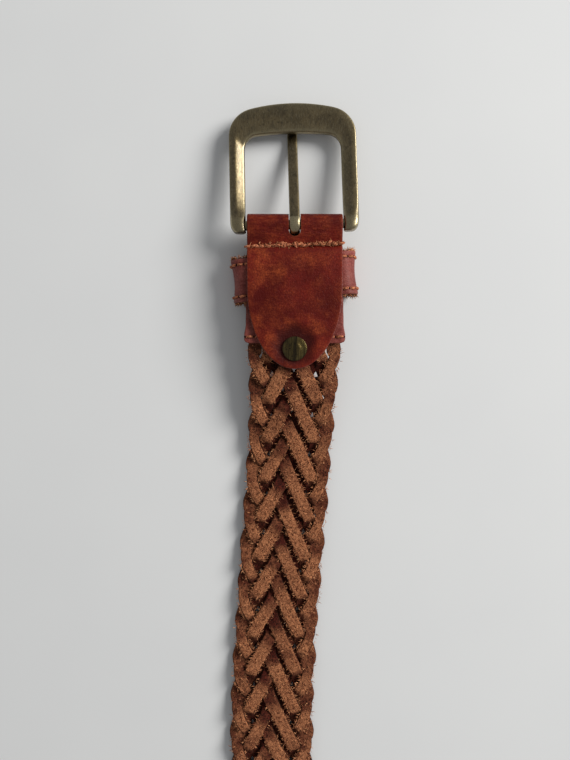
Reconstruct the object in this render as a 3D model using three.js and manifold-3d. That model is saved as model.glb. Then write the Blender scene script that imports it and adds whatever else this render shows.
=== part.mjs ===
// A braided leather belt with a heel-bar buckle, lying face down and straight, its buckle towards +Y.
//
// Eight flat strands of split leather are braided from edge to edge. Their head is held between two stitched
// facings. A chape, one strip with a tongue at either end, folds round the buckle's bar, lies on both faces of
// the head and is held there by a two-part screw. A keeper loop hangs round the head, under the back tongue.
// The far end of the braid is held between the two layers of a plain leather tip.
//
// Lengths are in millimetres. The model is laid out with the buckle's bar over y = 0 and the floor at z = 0,
// and is moved at the end so that its origin is the middle of its underside.

import * as THREE from "three";
import { mergeVertices } from "three/addons/utils/BufferGeometryUtils.js";
import Module from "manifold-3d";

const wasm = await Module();
wasm.setup();

// Clearances
const CLEARANCE = 0.3; // between two pieces that lie on each other
const SIDE_PLAY = 0.6; // between the chape's edge and an arm of the buckle
const FOLD_PLAY = 0.6; // between the bar and the fold round it

// Chape and its tongues
const CHAPE_WIDTH = 40;
const CHAPE_THICKNESS = 1.8;
const TONGUE_LENGTH = 61.2; // from the bar's axis to the tip of either tongue
const TONGUE_TAPER = 33.5; // the stretch over which a tongue narrows to its tip
const SEAM_OFFSET = 9; // from the bar's axis to the seam that pinches the fold
const SEAM_DIP = 2; // how far the back layer lies below the fold's crown at that seam
const RISE_LENGTH = 2.2; // from the seam to where the back tongue is up on the keeper
const SLOT_WIDTH = 5.2;
const SLOT_REACH = 5.8; // from the bar's axis to the slot's round end

// Facings round the braid's head
const FACING_WIDTH = 43;
const FACING_NECK_WIDTH = 39; // where they lie beside the bar
const FACING_THICKNESS = 1.2;
const FACING_SETBACK = 2; // from the seam to where they start
const FACING_END = 50; // from the bar's axis
const FACING_CORNER = 2;

// Keeper loop
const KEEPER_BAND = 18.3; // its length along the belt
const KEEPER_WALL = 1.6;
const KEEPER_OFFSET = 21.8; // from the bar's axis to its middle
const KEEPER_ROOM = 6; // clear height for the belt's tip
const KEEPER_SIDE_ROOM = 3.9; // from the facings' edge to the inside of its side wall
const KEEPER_CORNER = 6; // outer radius of its four bends
const KEEPER_TURN = 4.3; // degrees that it hangs out of square

// Buckle
const BAR_DIAMETER = 4;
const ARM_WIDTH = 6.7;
const FRAME_TOP_OUTER = 52.5; // from the bar's axis to the far edge
const FRAME_TOP_INNER = 40;
const FRAME_THICKNESS = 4.6;
const FRAME_HEEL = 3.4; // how far the arms run past the bar's axis
const FRAME_BOW = 1.5; // how far the arms bow towards the belt's front
const OUTER_CORNER = 12;
const OUTER_ARCH = 80; // radius of the far edge
const INNER_CORNER = 6;
const INNER_ARCH = 150;
const HEEL_SWELL = 1.16; // thickness of the arms at the bar, against the rest
const SOCKET_DEPTH = 4;
const BUCKLE_TURN = 1.4; // degrees that it lies out of square

// Prong
const PRONG_WIDTH = 4.4;
const PRONG_THICKNESS = 2.4;
const PRONG_LENGTH = 49.5; // from the bar's axis to its tip
const PRONG_BEND = 4; // how far before the frame's inner edge it turns flat

// Two-part screw
const SCREW_OFFSET = 52.2; // from the bar's axis
const SCREW_HEAD_DIAMETER = 10.3;
const SCREW_HEAD_HEIGHT = 1.2;
const SCREW_SLOT_WIDTH = 1.6;
const SCREW_SLOT_DEPTH = 0.6;
const POST_DIAMETER = 4.8;
const SHANK_DIAMETER = 2.6;

// Braid
const STRAND_COUNT = 8;
const STRAND_WIDTH = 6.2;
const STRAND_THICKNESS = 2.25;
const STRAND_END_THICKNESS = 1.2; // pared down where the ends are held
const BRAID_WIDTH = 37.4;
const BRAID_STEP = 9.03; // along the belt, from one row of crossings to the next
const BRAID_STEPS = 98;
const BRAID_FIRST_ROW = 1.1; // below the screw's axis
const BRAID_HEAD_STEPS = 1.15; // how far the strands run up from the first row into the facings
const HEAD_SPREAD = 0.09; // how much wider the braid is at its head
const HEAD_SPREAD_LENGTH = 20; // over which it narrows again
const EDGE_ROUNDING = 0.5; // share of a column by which the turns at the edges fall short
const CROSSING_MARGIN = 0.2; // from a strand's edge to where the one that it crosses starts to climb
const PARE_LENGTH = 8; // over which a strand's end is pared down

// How the braid lies
const DESCENT_START = 56; // from the bar's axis to where the braid starts to sink to the floor
const DESCENT_LENGTH = 48;
const DRIFT = -10.4; // sideways, from the buckle's line to the braid's
const DRIFT_START = 40;
const DRIFT_LENGTH = 200;

// Tip
const TIP_WIDTH = 38;
const TIP_THICKNESS = 1.2;
const TIP_LENGTH = 62;
const TIP_GRIP = 12; // how much of the braid it holds
const TIP_TAPER = 24;

// Which strands lie on top in each column of crossings, from the left edge of the belt's back:
// those that slant down to the right, or those that slant down to the left.
const TOP_RUN = ["right", "left", "left", "right", "right", "right", "left"];

// Heights that follow from the stack of pieces over the floor
const barRadius = BAR_DIAMETER / 2;
const frontLayerBottom = KEEPER_WALL + KEEPER_ROOM;
const frontLayerTop = frontLayerBottom + CHAPE_THICKNESS;
const barHeight = frontLayerTop + FOLD_PLAY + barRadius;
const frontFacingMid = frontLayerTop + CLEARANCE + FACING_THICKNESS / 2;
const backFacingMid = frontFacingMid + FACING_THICKNESS + CLEARANCE;
const keeperBackBottom = backFacingMid + FACING_THICKNESS / 2 + CLEARANCE;
const keeperHeight = keeperBackBottom + KEEPER_WALL;
const tongueOnKeeperMid = keeperHeight + CLEARANCE + CHAPE_THICKNESS / 2;
const headHalf = STRAND_END_THICKNESS + CLEARANCE / 2; // half the braid's thickness where it is held
const bodyHalf = STRAND_THICKNESS + CLEARANCE / 2; // and where it lies free
const headHeight = (frontFacingMid + backFacingMid) / 2 + CLEARANCE / 2;
const headFacingLift = headHalf + CLEARANCE + FACING_THICKNESS / 2;
const headTongueLift = headFacingLift + FACING_THICKNESS / 2 + CLEARANCE + CHAPE_THICKNESS / 2;

const lerp = (a, b, share) => a + (b - a) * share;
const smooth = (share) => {
  const s = Math.min(Math.max(share, 0), 1);
  return s * s * (3 - 2 * s);
};

// Six times the signed volume inside a closed triangle mesh.
function signedVolume(points, index) {
  const corner = (i) => new THREE.Vector3(...points[index[i]]);
  let sum = 0;
  for (let i = 0; i < index.length; i += 3) sum += corner(i).dot(corner(i + 1).cross(corner(i + 2)));
  return sum;
}

// A closed body through rings of points, each ring convex and with as many points as the next.
function loft(rings) {
  const count = rings[0].length;
  const points = rings.flat();
  const index = [];
  const last = (rings.length - 1) * count;
  for (let k = 1; k + 1 < count; k++) index.push(0, k + 1, k, last, last + k, last + k + 1);
  for (let r = 0; r + 1 < rings.length; r++)
    for (let k = 0; k < count; k++) {
      const a = r * count + k;
      const b = r * count + ((k + 1) % count);
      index.push(a, b, b + count, a, b + count, a + count);
    }
  if (signedVolume(points, index) < 0) index.reverse();
  return new THREE.BufferGeometry()
    .setAttribute("position", new THREE.Float32BufferAttribute(points.flat(), 3))
    .setIndex(index);
}

// A band that follows a path in the YZ plane. Each station holds y, z and the band's half width there.
function ribbon(stations, thickness) {
  const rings = stations.map(({ y, z, half }, i) => {
    const before = stations[Math.max(i - 1, 0)];
    const after = stations[Math.min(i + 1, stations.length - 1)];
    const along = new THREE.Vector2(after.y - before.y, after.z - before.z).setLength(thickness / 2);
    const [up, side] = [along.x, -along.y];
    return [
      [-half, y + side, z + up],
      [half, y + side, z + up],
      [half, y - side, z - up],
      [-half, y - side, z - up],
    ];
  });
  return loft(rings);
}

// Stations on a round bend about the bar, between two angles from +Y in degrees.
function bend(radius, from, to, half, steps) {
  return Array.from({ length: steps + 1 }, (_, i) => {
    const angle = THREE.MathUtils.degToRad(lerp(from, to, i / steps));
    return { y: radius * Math.cos(angle), z: barHeight + radius * Math.sin(angle), half };
  });
}

function toSolid(geometry) {
  const bare = geometry.clone();
  bare.deleteAttribute("normal");
  bare.deleteAttribute("uv");
  const merged = mergeVertices(bare, 1e-4);
  return new wasm.Manifold(
    new wasm.Mesh({
      numProp: 3,
      vertProperties: merged.attributes.position.array,
      triVerts: new Uint32Array(merged.index.array),
    }),
  );
}

// The geometry with each of the tools cut away from it.
function cut(geometry, ...tools) {
  const made = tools.reduce((solid, tool) => solid.subtract(toSolid(tool)), toSolid(geometry)).getMesh();
  return new THREE.BufferGeometry()
    .setAttribute("position", new THREE.Float32BufferAttribute(made.vertProperties, 3))
    .setIndex(new THREE.BufferAttribute(made.triVerts, 1));
}

function piece(name, geometry, material) {
  const mesh = new THREE.Mesh(geometry, material);
  mesh.name = name;
  return mesh;
}

const leather = (color) => new THREE.MeshStandardMaterial({ color, roughness: 0.55, metalness: 0 });
const chapeLeather = leather(0x7a2f1c);
const facingLeather = leather(0x6e3232);
const splitLeather = new THREE.MeshStandardMaterial({ color: 0x9c5a2e, roughness: 0.95, metalness: 0 });
const agedBrass = new THREE.MeshStandardMaterial({ color: 0x5c5234, roughness: 0.4, metalness: 0.9 });

// Half the width of a tongue at a distance from its tip: half an ellipse, then straight.
function tongueHalf(fromTip, width, taper) {
  const share = Math.min(fromTip / taper, 1);
  return (width / 2) * Math.sqrt(1 - (1 - share) ** 2);
}

// Shares of a tongue's taper at which it has a section
const TAPER_SHARES = [0.012, 0.05, 0.13, 0.25, 0.42, 0.65, 1];

// One strip: the front tongue, the fold round the bar with its slot, the seam's dip and the back tongue.
function chape() {
  const half = CHAPE_WIDTH / 2;
  const foldRadius = barRadius + FOLD_PLAY + CHAPE_THICKNESS / 2;
  const headStart = FACING_END - BRAID_STEP;
  const bulgeStart = headStart - 6;
  const frontMid = frontLayerTop - CHAPE_THICKNESS / 2;
  const seamMid = barHeight + foldRadius - SEAM_DIP;
  const level = (distance, z, width = half) => ({ y: -distance, z, half: width });
  const tongue = (z) =>
    TAPER_SHARES.map((share) => {
      const fromTip = share * TONGUE_TAPER;
      return level(TONGUE_LENGTH - fromTip, z, tongueHalf(fromTip, CHAPE_WIDTH, TONGUE_TAPER));
    });
  const atHead = (stations, distance) => stations.filter(({ y }) => y < -distance);
  const widthAt = (distance) => tongueHalf(TONGUE_LENGTH - distance, CHAPE_WIDTH, TONGUE_TAPER);
  const front = [
    ...atHead(tongue(headHeight - headTongueLift), headStart),
    level(headStart, headHeight - headTongueLift, widthAt(headStart)),
    level(bulgeStart, frontMid, widthAt(bulgeStart)),
    level(TONGUE_LENGTH - TONGUE_TAPER, frontMid),
  ];
  const back = [
    level(SEAM_OFFSET - 1, seamMid),
    level(SEAM_OFFSET, seamMid - CLEARANCE / 2),
    level(SEAM_OFFSET + RISE_LENGTH, tongueOnKeeperMid),
    level(TONGUE_LENGTH - TONGUE_TAPER, tongueOnKeeperMid),
    level(bulgeStart, tongueOnKeeperMid, widthAt(bulgeStart)),
    level(headStart, headHeight + headTongueLift, widthAt(headStart)),
    ...atHead(tongue(headHeight + headTongueLift), headStart).reverse(),
  ];
  const strip = ribbon([...front, ...bend(foldRadius, -90, 97, half, 10), ...back], CHAPE_THICKNESS);
  return cut(strip, prongSlot(), screwHole());
}

// A slot with a round end, through both layers of the fold.
function prongSlot() {
  const radius = SLOT_WIDTH / 2;
  const beyondFold = barRadius + FOLD_PLAY + 2 * CHAPE_THICKNESS;
  const outline = new THREE.Shape()
    .moveTo(radius, beyondFold)
    .lineTo(-radius, beyondFold)
    .lineTo(-radius, radius - SLOT_REACH)
    .absarc(0, radius - SLOT_REACH, radius, Math.PI, 2 * Math.PI, false);
  const depth = 2 * tongueOnKeeperMid;
  return new THREE.ExtrudeGeometry(outline, { depth, bevelEnabled: false, curveSegments: 10 });
}

function screwHole() {
  const height = 3 * tongueOnKeeperMid;
  return new THREE.CylinderGeometry(POST_DIAMETER / 2 + CLEARANCE, POST_DIAMETER / 2 + CLEARANCE, height, 20)
    .rotateX(Math.PI / 2)
    .translate(0, -SCREW_OFFSET, height / 4);
}

// A facing lies flat along the chape, then spreads from its pair to take the braid's head. side is 1 or -1.
function facing(mid, side) {
  const half = FACING_WIDTH / 2;
  const neck = FACING_NECK_WIDTH / 2;
  const headStart = FACING_END - BRAID_STEP;
  const start = SEAM_OFFSET + FACING_SETBACK;
  const spread = headHeight + side * headFacingLift;
  const stations = [
    { y: -start, z: mid, half: neck },
    { y: -(KEEPER_OFFSET - KEEPER_BAND / 2), z: mid, half: neck },
    { y: -(KEEPER_OFFSET + KEEPER_BAND / 4), z: mid, half },
    { y: -(headStart - 6), z: mid, half },
    { y: -headStart, z: spread, half },
    { y: -(FACING_END - FACING_CORNER), z: spread, half },
    { y: -(FACING_END - FACING_CORNER * 0.3), z: spread, half: half - FACING_CORNER * 0.3 },
    { y: -FACING_END, z: spread, half: half - FACING_CORNER },
  ];
  return cut(ribbon(stations, FACING_THICKNESS), screwHole());
}

function roundedRectangle(path, halfWidth, bottom, top, radius) {
  return path
    .moveTo(radius - halfWidth, bottom)
    .lineTo(halfWidth - radius, bottom)
    .absarc(halfWidth - radius, bottom + radius, radius, -Math.PI / 2, 0, false)
    .absarc(halfWidth - radius, top - radius, radius, 0, Math.PI / 2, false)
    .absarc(radius - halfWidth, top - radius, radius, Math.PI / 2, Math.PI, false)
    .absarc(radius - halfWidth, bottom + radius, radius, Math.PI, 1.5 * Math.PI, false);
}

// A closed band of leather that stands a little proud of the facings on both sides.
function keeper() {
  const inner = FACING_WIDTH / 2 + KEEPER_SIDE_ROOM;
  const wall = roundedRectangle(new THREE.Shape(), inner + KEEPER_WALL, 0, keeperHeight, KEEPER_CORNER);
  const innerTop = keeperHeight - KEEPER_WALL;
  wall.holes.push(
    roundedRectangle(new THREE.Path(), inner, KEEPER_WALL, innerTop, KEEPER_CORNER - KEEPER_WALL),
  );
  const band = new THREE.ExtrudeGeometry(wall, { depth: KEEPER_BAND, bevelEnabled: false, curveSegments: 5 });
  return band
    .translate(0, 0, -KEEPER_BAND / 2)
    .rotateX(Math.PI / 2)
    .rotateZ(THREE.MathUtils.degToRad(KEEPER_TURN))
    .translate(0, -KEEPER_OFFSET, 0);
}

// One side of the frame's outline, as points for each share of the arm, the corner and the far edge.
function frameSide(half, top, arch, corner, armShares, cornerSteps, archSteps) {
  const archCentre = top - arch;
  const cornerX = half - corner;
  const cornerY = archCentre + Math.sqrt((arch - corner) ** 2 - cornerX ** 2);
  const meet = Math.atan2(cornerY - archCentre, cornerX);
  const arm = armShares.map((share) => [half, lerp(-FRAME_HEEL, cornerY, share)]);
  const turn = Array.from({ length: cornerSteps }, (_, i) => {
    const angle = (meet * (i + 1)) / cornerSteps;
    return [cornerX + corner * Math.cos(angle), cornerY + corner * Math.sin(angle)];
  });
  const far = Array.from({ length: archSteps }, (_, i) => {
    const angle = lerp(meet, Math.PI / 2, (i + 1) / archSteps);
    return [arch * Math.cos(angle), archCentre + arch * Math.sin(angle)];
  });
  return [...arm, ...turn, ...far];
}

// Sections of the frame, from its outer edge round by the back, the inner edge and the front.
// Columns: share of the way from the outer to the inner edge, share of half the thickness.
const HEEL_SECTION = [
  [0, 0.45], [0.16, 0.92], [0.45, 1], [0.86, 0.96], [1, 0.86],
  [1, -0.86], [0.84, -0.96], [0.5, -1], [0.16, -0.92], [0, -0.45],
];
const ARM_SECTION = [
  [0, 0.3], [0.14, 0.78], [0.42, 1], [0.86, 0.62], [1, 0.2],
  [1, -0.35], [0.84, -0.85], [0.5, -1], [0.16, -0.85], [0, -0.3],
];
const TOP_SECTION = [
  [0, 0.35], [0.08, 0.78], [0.42, 1], [0.9, 0.8], [1, 0.25],
  [1, -0.35], [0.9, -0.85], [0.5, -1], [0.1, -0.85], [0, -0.3],
];
// Columns: share of the arm from its heel, how far its outer edge is drawn in, share of the full thickness.
const ARM_STATIONS = [
  [0, 2.3, 0.8],
  [0.055, 0.8, 0.97],
  [0.12, 0, 1],
  [0.19, 0, 1],
  [0.25, 0, 1],
  [0.62, 0, 1],
  [1, 0, 1],
];
const HEEL_STATIONS = 4; // the first stations, which hold the bar

// How far the frame's middle surface lies below a straight line, at a distance from the bar.
function bow(y) {
  const share = Math.min(Math.max(y / FRAME_TOP_OUTER, 0), 1);
  return 4 * FRAME_BOW * share * (1 - share);
}

// A D-shaped frame without its straight side: two arms and a broad far end.
function buckleFrame() {
  const inner = CHAPE_WIDTH / 2 + SIDE_PLAY;
  const shares = ARM_STATIONS.map(([share]) => share);
  const out = frameSide(inner + ARM_WIDTH, FRAME_TOP_OUTER, OUTER_ARCH, OUTER_CORNER, shares, 5, 4);
  const hole = frameSide(inner, FRAME_TOP_INNER, INNER_ARCH, INNER_CORNER, shares, 5, 4);
  const armCount = ARM_STATIONS.length;
  const half = out.map(([outX, outY], i) => {
    const [holeX, holeY] = hole[i];
    const [, drawnIn, thick] = ARM_STATIONS[Math.min(i, armCount - 1)];
    const onHeel = i < HEEL_STATIONS;
    const towardsTop = smooth((i - armCount + 1) / 5);
    const halfThickness = (FRAME_THICKNESS / 2) * thick * (onHeel ? HEEL_SWELL : 1);
    return ARM_SECTION.map(([armAcross, armUp], k) => {
      const across = onHeel ? HEEL_SECTION[k][0] : lerp(armAcross, TOP_SECTION[k][0], towardsTop);
      const up = onHeel ? HEEL_SECTION[k][1] : lerp(armUp, TOP_SECTION[k][1], towardsTop);
      const y = lerp(outY, holeY, across);
      return [lerp(outX - drawnIn, holeX, across), y, up * halfThickness - bow(y)];
    });
  });
  const mirrored = half.slice(0, -1).map((ring) => ring.map(([x, y, z]) => [-x, y, z]));
  const sockets = barCylinder(barRadius + CLEARANCE, 2 * (inner + SOCKET_DEPTH));
  return cut(loft([...half, ...mirrored.reverse()]), sockets);
}

function barCylinder(radius, length) {
  return new THREE.CylinderGeometry(radius, radius, length, 20).rotateZ(Math.PI / 2);
}

// The prong wraps round the bar from underneath and runs down to the floor, under the frame's far end.
function prong() {
  const radius = barRadius + CLEARANCE + PRONG_THICKNESS / 2;
  const half = PRONG_WIDTH / 2;
  const flatMid = PRONG_THICKNESS / 2;
  const bendY = FRAME_TOP_INNER - PRONG_BEND;
  const drop = barHeight - flatMid;
  const reach = Math.hypot(bendY, drop);
  const slope = Math.atan2(drop, bendY) + Math.asin(radius / reach);
  const leave = 90 - THREE.MathUtils.radToDeg(slope);
  const tip = [
    { y: bendY, z: flatMid, half },
    { y: lerp(bendY, PRONG_LENGTH, 0.75), z: flatMid, half },
    { y: PRONG_LENGTH, z: flatMid, half: half * 0.6 },
  ];
  return ribbon([...bend(radius, leave + 266, leave, half, 15), ...tip], PRONG_THICKNESS);
}

// The turned profile of a screw's head, cap or barrel: radius and height pairs about the screw's axis.
function turned(profile) {
  const points = profile.map(([radius, z]) => new THREE.Vector2(radius, z));
  return new THREE.LatheGeometry(points, 24).rotateX(Math.PI / 2).translate(0, -SCREW_OFFSET, 0);
}

const tongueTop = headHeight + headTongueLift + CHAPE_THICKNESS / 2;
const tongueBottom = headHeight - headTongueLift - CHAPE_THICKNESS / 2;

// The slotted half, which shows on the belt's back.
function screw() {
  const seat = tongueTop + CLEARANCE / 3;
  const top = seat + SCREW_HEAD_HEIGHT;
  const radius = SCREW_HEAD_DIAMETER / 2;
  const shank = SHANK_DIAMETER / 2;
  const body = turned([
    [0, headHeight],
    [shank, headHeight],
    [shank, seat],
    [radius, seat],
    [radius, top - 0.35],
    [radius * 0.86, top],
    [0, top],
  ]);
  const slot = new THREE.BoxGeometry(SCREW_SLOT_WIDTH, SCREW_HEAD_DIAMETER * 1.2, 2 * SCREW_SLOT_DEPTH);
  return cut(body, slot.rotateZ(-0.06).translate(0, -SCREW_OFFSET, top));
}

// The barrel half, with a plain cap on the belt's front.
function screwPost() {
  const seat = tongueBottom - CLEARANCE / 3;
  const bottom = seat - SCREW_HEAD_HEIGHT;
  const radius = SCREW_HEAD_DIAMETER / 2;
  const bore = SHANK_DIAMETER / 2 + CLEARANCE;
  return turned([
    [0, bottom],
    [radius * 0.86, bottom],
    [radius, bottom + 0.35],
    [radius, seat],
    [POST_DIAMETER / 2, seat],
    [POST_DIAMETER / 2, tongueTop - CLEARANCE],
    [bore, tongueTop - CLEARANCE],
    [bore, headHeight - CLEARANCE],
    [0, headHeight - CLEARANCE],
  ]);
}

// The braid's lattice. A strand's phase counts the steps since it last left the left edge.
const turnSteps = STRAND_COUNT; // from one edge to the other
const columnWidth = (BRAID_WIDTH - STRAND_WIDTH) / (turnSteps - 2 * EDGE_ROUNDING);
const slant = Math.atan2(columnWidth, BRAID_STEP);
const skew = STRAND_WIDTH / 2 / Math.sin(2 * slant);
const stepLength = Math.hypot(columnWidth, BRAID_STEP);
const flatShare = (STRAND_WIDTH / 2 + CROSSING_MARGIN) / Math.sin(2 * slant) / stepLength;
const rowY = (step) => -(SCREW_OFFSET + BRAID_FIRST_ROW) - step * BRAID_STEP;
const lastRow = rowY(BRAID_STEPS);

// What a strand does at a whole phase: where it is across the belt, which side of the others, and its slant.
function knot(phase) {
  const p = ((phase % (2 * turnSteps)) + 2 * turnSteps) % (2 * turnSteps);
  if (p % turnSteps === 0) return { turn: true, across: (p ? 1 : -1) * (turnSteps / 2 - EDGE_ROUNDING) };
  const rightward = p < turnSteps;
  const column = rightward ? p : 2 * turnSteps - p;
  const over = (TOP_RUN[column - 1] === "right") === rightward;
  return { across: column - turnSteps / 2, level: over ? 1 : -1, heading: rightward ? 1 : -1 };
}

// The stations of a strand between two steps: a turn at each edge, and a flat stretch at each crossing.
// A crossing between two others on the same side needs none of its own where the belt lies straight.
function strandStations(strand, from, to) {
  const stations = [];
  const nearEnd = (step) =>
    rowY(step) > -(DRIFT_START + DRIFT_LENGTH) || rowY(step) < lastRow + TIP_GRIP + 2 * PARE_LENGTH + BRAID_STEP;
  for (let step = Math.floor(from) - 1; step <= Math.ceil(to) + 1; step++) {
    const here = knot(step + 2 * strand);
    if (here.turn) {
      stations.push({ step, across: here.across, level: 0, edge: [STRAND_WIDTH / 2, 0] });
      continue;
    }
    const edge = [skew * Math.sin(slant), skew * Math.cos(slant) * here.heading];
    for (const side of [-1, 1]) {
      const next = knot(step + side + 2 * strand);
      if (next.level === here.level && !nearEnd(step)) continue;
      const across = here.across + side * flatShare * here.heading;
      stations.push({ step: step + side * flatShare, across, level: here.level, edge });
    }
  }
  return cropStations(stations, from, to);
}

// The stations between two steps, with one interpolated at either end.
function cropStations(stations, from, to) {
  const at = (step) => {
    const i = stations.findIndex((s) => s.step > step);
    const [a, b] = [stations[i - 1], stations[i]];
    const share = (step - a.step) / (b.step - a.step);
    return {
      step,
      across: lerp(a.across, b.across, share),
      level: lerp(a.level, b.level, share),
      edge: a.edge.map((v, k) => lerp(v, b.edge[k], share)),
    };
  };
  const kept = stations.filter(({ step }) => step > from + 0.05 && step < to - 0.05);
  return [at(from), ...kept, at(to)];
}

// How far a place is into the pared ends, from 0 where the strands are whole to 1 where they are held.
function pared(y) {
  const head = smooth((y + FACING_END + PARE_LENGTH) / PARE_LENGTH);
  const tip = smooth((lastRow + TIP_GRIP + 2 * PARE_LENGTH - y) / PARE_LENGTH);
  return Math.max(head, tip);
}

// Height of the braid's middle: level in the chape, down to the floor, and up a little into the tip.
function braidHeight(y) {
  const sunk = smooth((-y - DESCENT_START) / DESCENT_LENGTH);
  const inTip = TIP_THICKNESS + CLEARANCE + headHalf;
  const tip = smooth((lastRow + TIP_GRIP + 2 * PARE_LENGTH - y) / PARE_LENGTH);
  return lerp(headHeight, lerp(bodyHalf, inTip, tip), sunk);
}

// Lays a point of the straight, flat braid where the belt has it.
function lay([x, y], z) {
  const spread = 1 + HEAD_SPREAD * smooth(1 + (y + SCREW_OFFSET) / HEAD_SPREAD_LENGTH);
  const drift = DRIFT * smooth((-y - DRIFT_START) / DRIFT_LENGTH);
  return [x * spread + drift, y, z + braidHeight(y)];
}

function strand(number) {
  const meetsScrew = Math.abs(knot(2 * number).across) < 0.5;
  const from = meetsScrew ? flatShare + 0.1 : -BRAID_HEAD_STEPS;
  const rings = strandStations(number, from, BRAID_STEPS).map(({ step, across, level, edge }) => {
    const centre = [across * columnWidth, rowY(step)];
    const corners = [-1, 1].map((side) => [centre[0] + side * edge[0], centre[1] + side * edge[1]]);
    const [left, right] = corners.map((corner) => {
      const thickness = lerp(STRAND_THICKNESS, STRAND_END_THICKNESS, pared(corner[1]));
      const mid = (level * (thickness + CLEARANCE)) / 2;
      return [lay(corner, mid + thickness / 2), lay(corner, mid - thickness / 2)];
    });
    return [left[0], right[0], right[1], left[1]];
  });
  return loft(rings);
}

// One layer of the tip, flat on the floor or over the braid's end and down onto the other layer.
function tipLayer(back) {
  const start = lastRow + TIP_GRIP;
  const end = start - TIP_LENGTH;
  const flatMid = TIP_THICKNESS / 2;
  const overBraid = TIP_THICKNESS + 2 * headHalf + 2 * CLEARANCE + flatMid;
  const closed = TIP_THICKNESS + CLEARANCE + flatMid;
  const half = TIP_WIDTH / 2;
  const closes = lastRow - CLEARANCE - 4;
  const height = (y) => (back ? lerp(overBraid, closed, smooth((closes + 2 - y) / 9)) : flatMid);
  const taper = TAPER_SHARES.map((share) => ({
    y: end + share * TIP_TAPER,
    half: tongueHalf(share * TIP_TAPER, TIP_WIDTH, TIP_TAPER),
  })).reverse();
  const straight = [start, closes + 2, closes - 1, closes - 4, closes - 7].map((y) => ({ y, half }));
  const stations = [...straight, ...taper].map(({ y, half }) => ({ y, z: height(y), half }));
  return ribbon(stations, TIP_THICKNESS).translate(DRIFT, 0, 0);
}

// The frame and its bar, tipped down until the far end lies on the prong's tip.
function buckle() {
  const wanted = PRONG_THICKNESS + CLEARANCE + FRAME_THICKNESS / 2 + bow(PRONG_LENGTH);
  const group = new THREE.Group();
  group.add(
    piece("buckle_frame", buckleFrame(), agedBrass),
    piece("heel_bar", barCylinder(barRadius, 2 * (CHAPE_WIDTH / 2 + SIDE_PLAY + SOCKET_DEPTH - CLEARANCE)), agedBrass),
  );
  group.position.z = barHeight;
  group.rotation.x = -Math.asin((barHeight - wanted) / PRONG_LENGTH);
  return group;
}

// What turns on the bar
function hardware() {
  const group = new THREE.Group();
  group.add(buckle(), piece("prong", prong(), agedBrass));
  group.rotation.z = THREE.MathUtils.degToRad(BUCKLE_TURN);
  return group;
}

const belt = new THREE.Group();
belt.add(
  hardware(),
  piece("chape", chape(), chapeLeather),
  piece("front_facing", facing(frontFacingMid, -1), facingLeather),
  piece("back_facing", facing(backFacingMid, 1), facingLeather),
  piece("keeper", keeper(), facingLeather),
  piece("screw", screw(), agedBrass),
  piece("screw_post", screwPost(), agedBrass),
  piece("tip_front", tipLayer(false), chapeLeather),
  piece("tip_back", tipLayer(true), chapeLeather),
);
for (let i = 0; i < STRAND_COUNT; i++) belt.add(piece(`strand_${i + 1}`, strand(i), splitLeather));

// The origin is the middle of the belt's underside.
const box = new THREE.Box3().setFromObject(belt, true);
const middle = box.getCenter(new THREE.Vector3());
belt.position.set(-middle.x, -middle.y, -box.min.z);

export default belt;
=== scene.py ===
"""A braided leather belt lying face down, its buckle at the top of the picture.

Lengths inside the functions are millimetres in belt coordinates: x across, y along towards the buckle with the
bar over y = 0, and z up from the surface. place() turns them into the row's metres.
"""

from math import asin, atan2, cos, hypot, pi, radians, sin, sqrt

import bmesh
import bpy
import numpy as np
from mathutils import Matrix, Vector, noise


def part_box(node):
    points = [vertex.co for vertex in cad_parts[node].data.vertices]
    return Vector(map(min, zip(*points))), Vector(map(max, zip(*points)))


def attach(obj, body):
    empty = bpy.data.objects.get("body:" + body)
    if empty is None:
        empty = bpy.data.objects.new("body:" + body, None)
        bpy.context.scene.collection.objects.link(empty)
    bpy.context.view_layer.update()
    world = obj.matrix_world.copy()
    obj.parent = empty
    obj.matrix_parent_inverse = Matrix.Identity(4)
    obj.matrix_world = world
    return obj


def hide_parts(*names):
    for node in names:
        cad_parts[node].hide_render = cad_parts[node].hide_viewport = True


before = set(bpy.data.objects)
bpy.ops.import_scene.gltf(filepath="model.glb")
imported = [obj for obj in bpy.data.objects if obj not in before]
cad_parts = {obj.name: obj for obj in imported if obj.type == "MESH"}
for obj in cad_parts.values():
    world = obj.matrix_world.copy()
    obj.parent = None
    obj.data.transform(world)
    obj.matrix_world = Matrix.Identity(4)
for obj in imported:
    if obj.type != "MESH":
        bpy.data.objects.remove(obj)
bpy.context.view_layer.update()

MM = 0.001


def node_box(node):
    """Lowest and highest corners of a CAD node, in millimetres in row axes."""
    low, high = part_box(node)
    return np.array(low) / MM, np.array(high) / MM


bar_low, bar_high = node_box("heel_bar")
BAR = (bar_low + bar_high) / 2
BELT_ORIGIN = np.array([BAR[0], BAR[1], 0.0])
BAR_HEIGHT = BAR[2]


def belt_box(node):
    """A CAD node's box in belt coordinates."""
    low, high = node_box(node)
    return low - BELT_ORIGIN, high - BELT_ORIGIN


chape_low, chape_high = belt_box("chape")
keeper_low, keeper_high = belt_box("keeper")
screw_low, screw_high = belt_box("screw")
post_low, _ = belt_box("screw_post")
facing_low, facing_high = belt_box("back_facing")
tip_low, tip_high = belt_box("tip_front")
_, tip_back_high = belt_box("tip_back")

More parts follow.
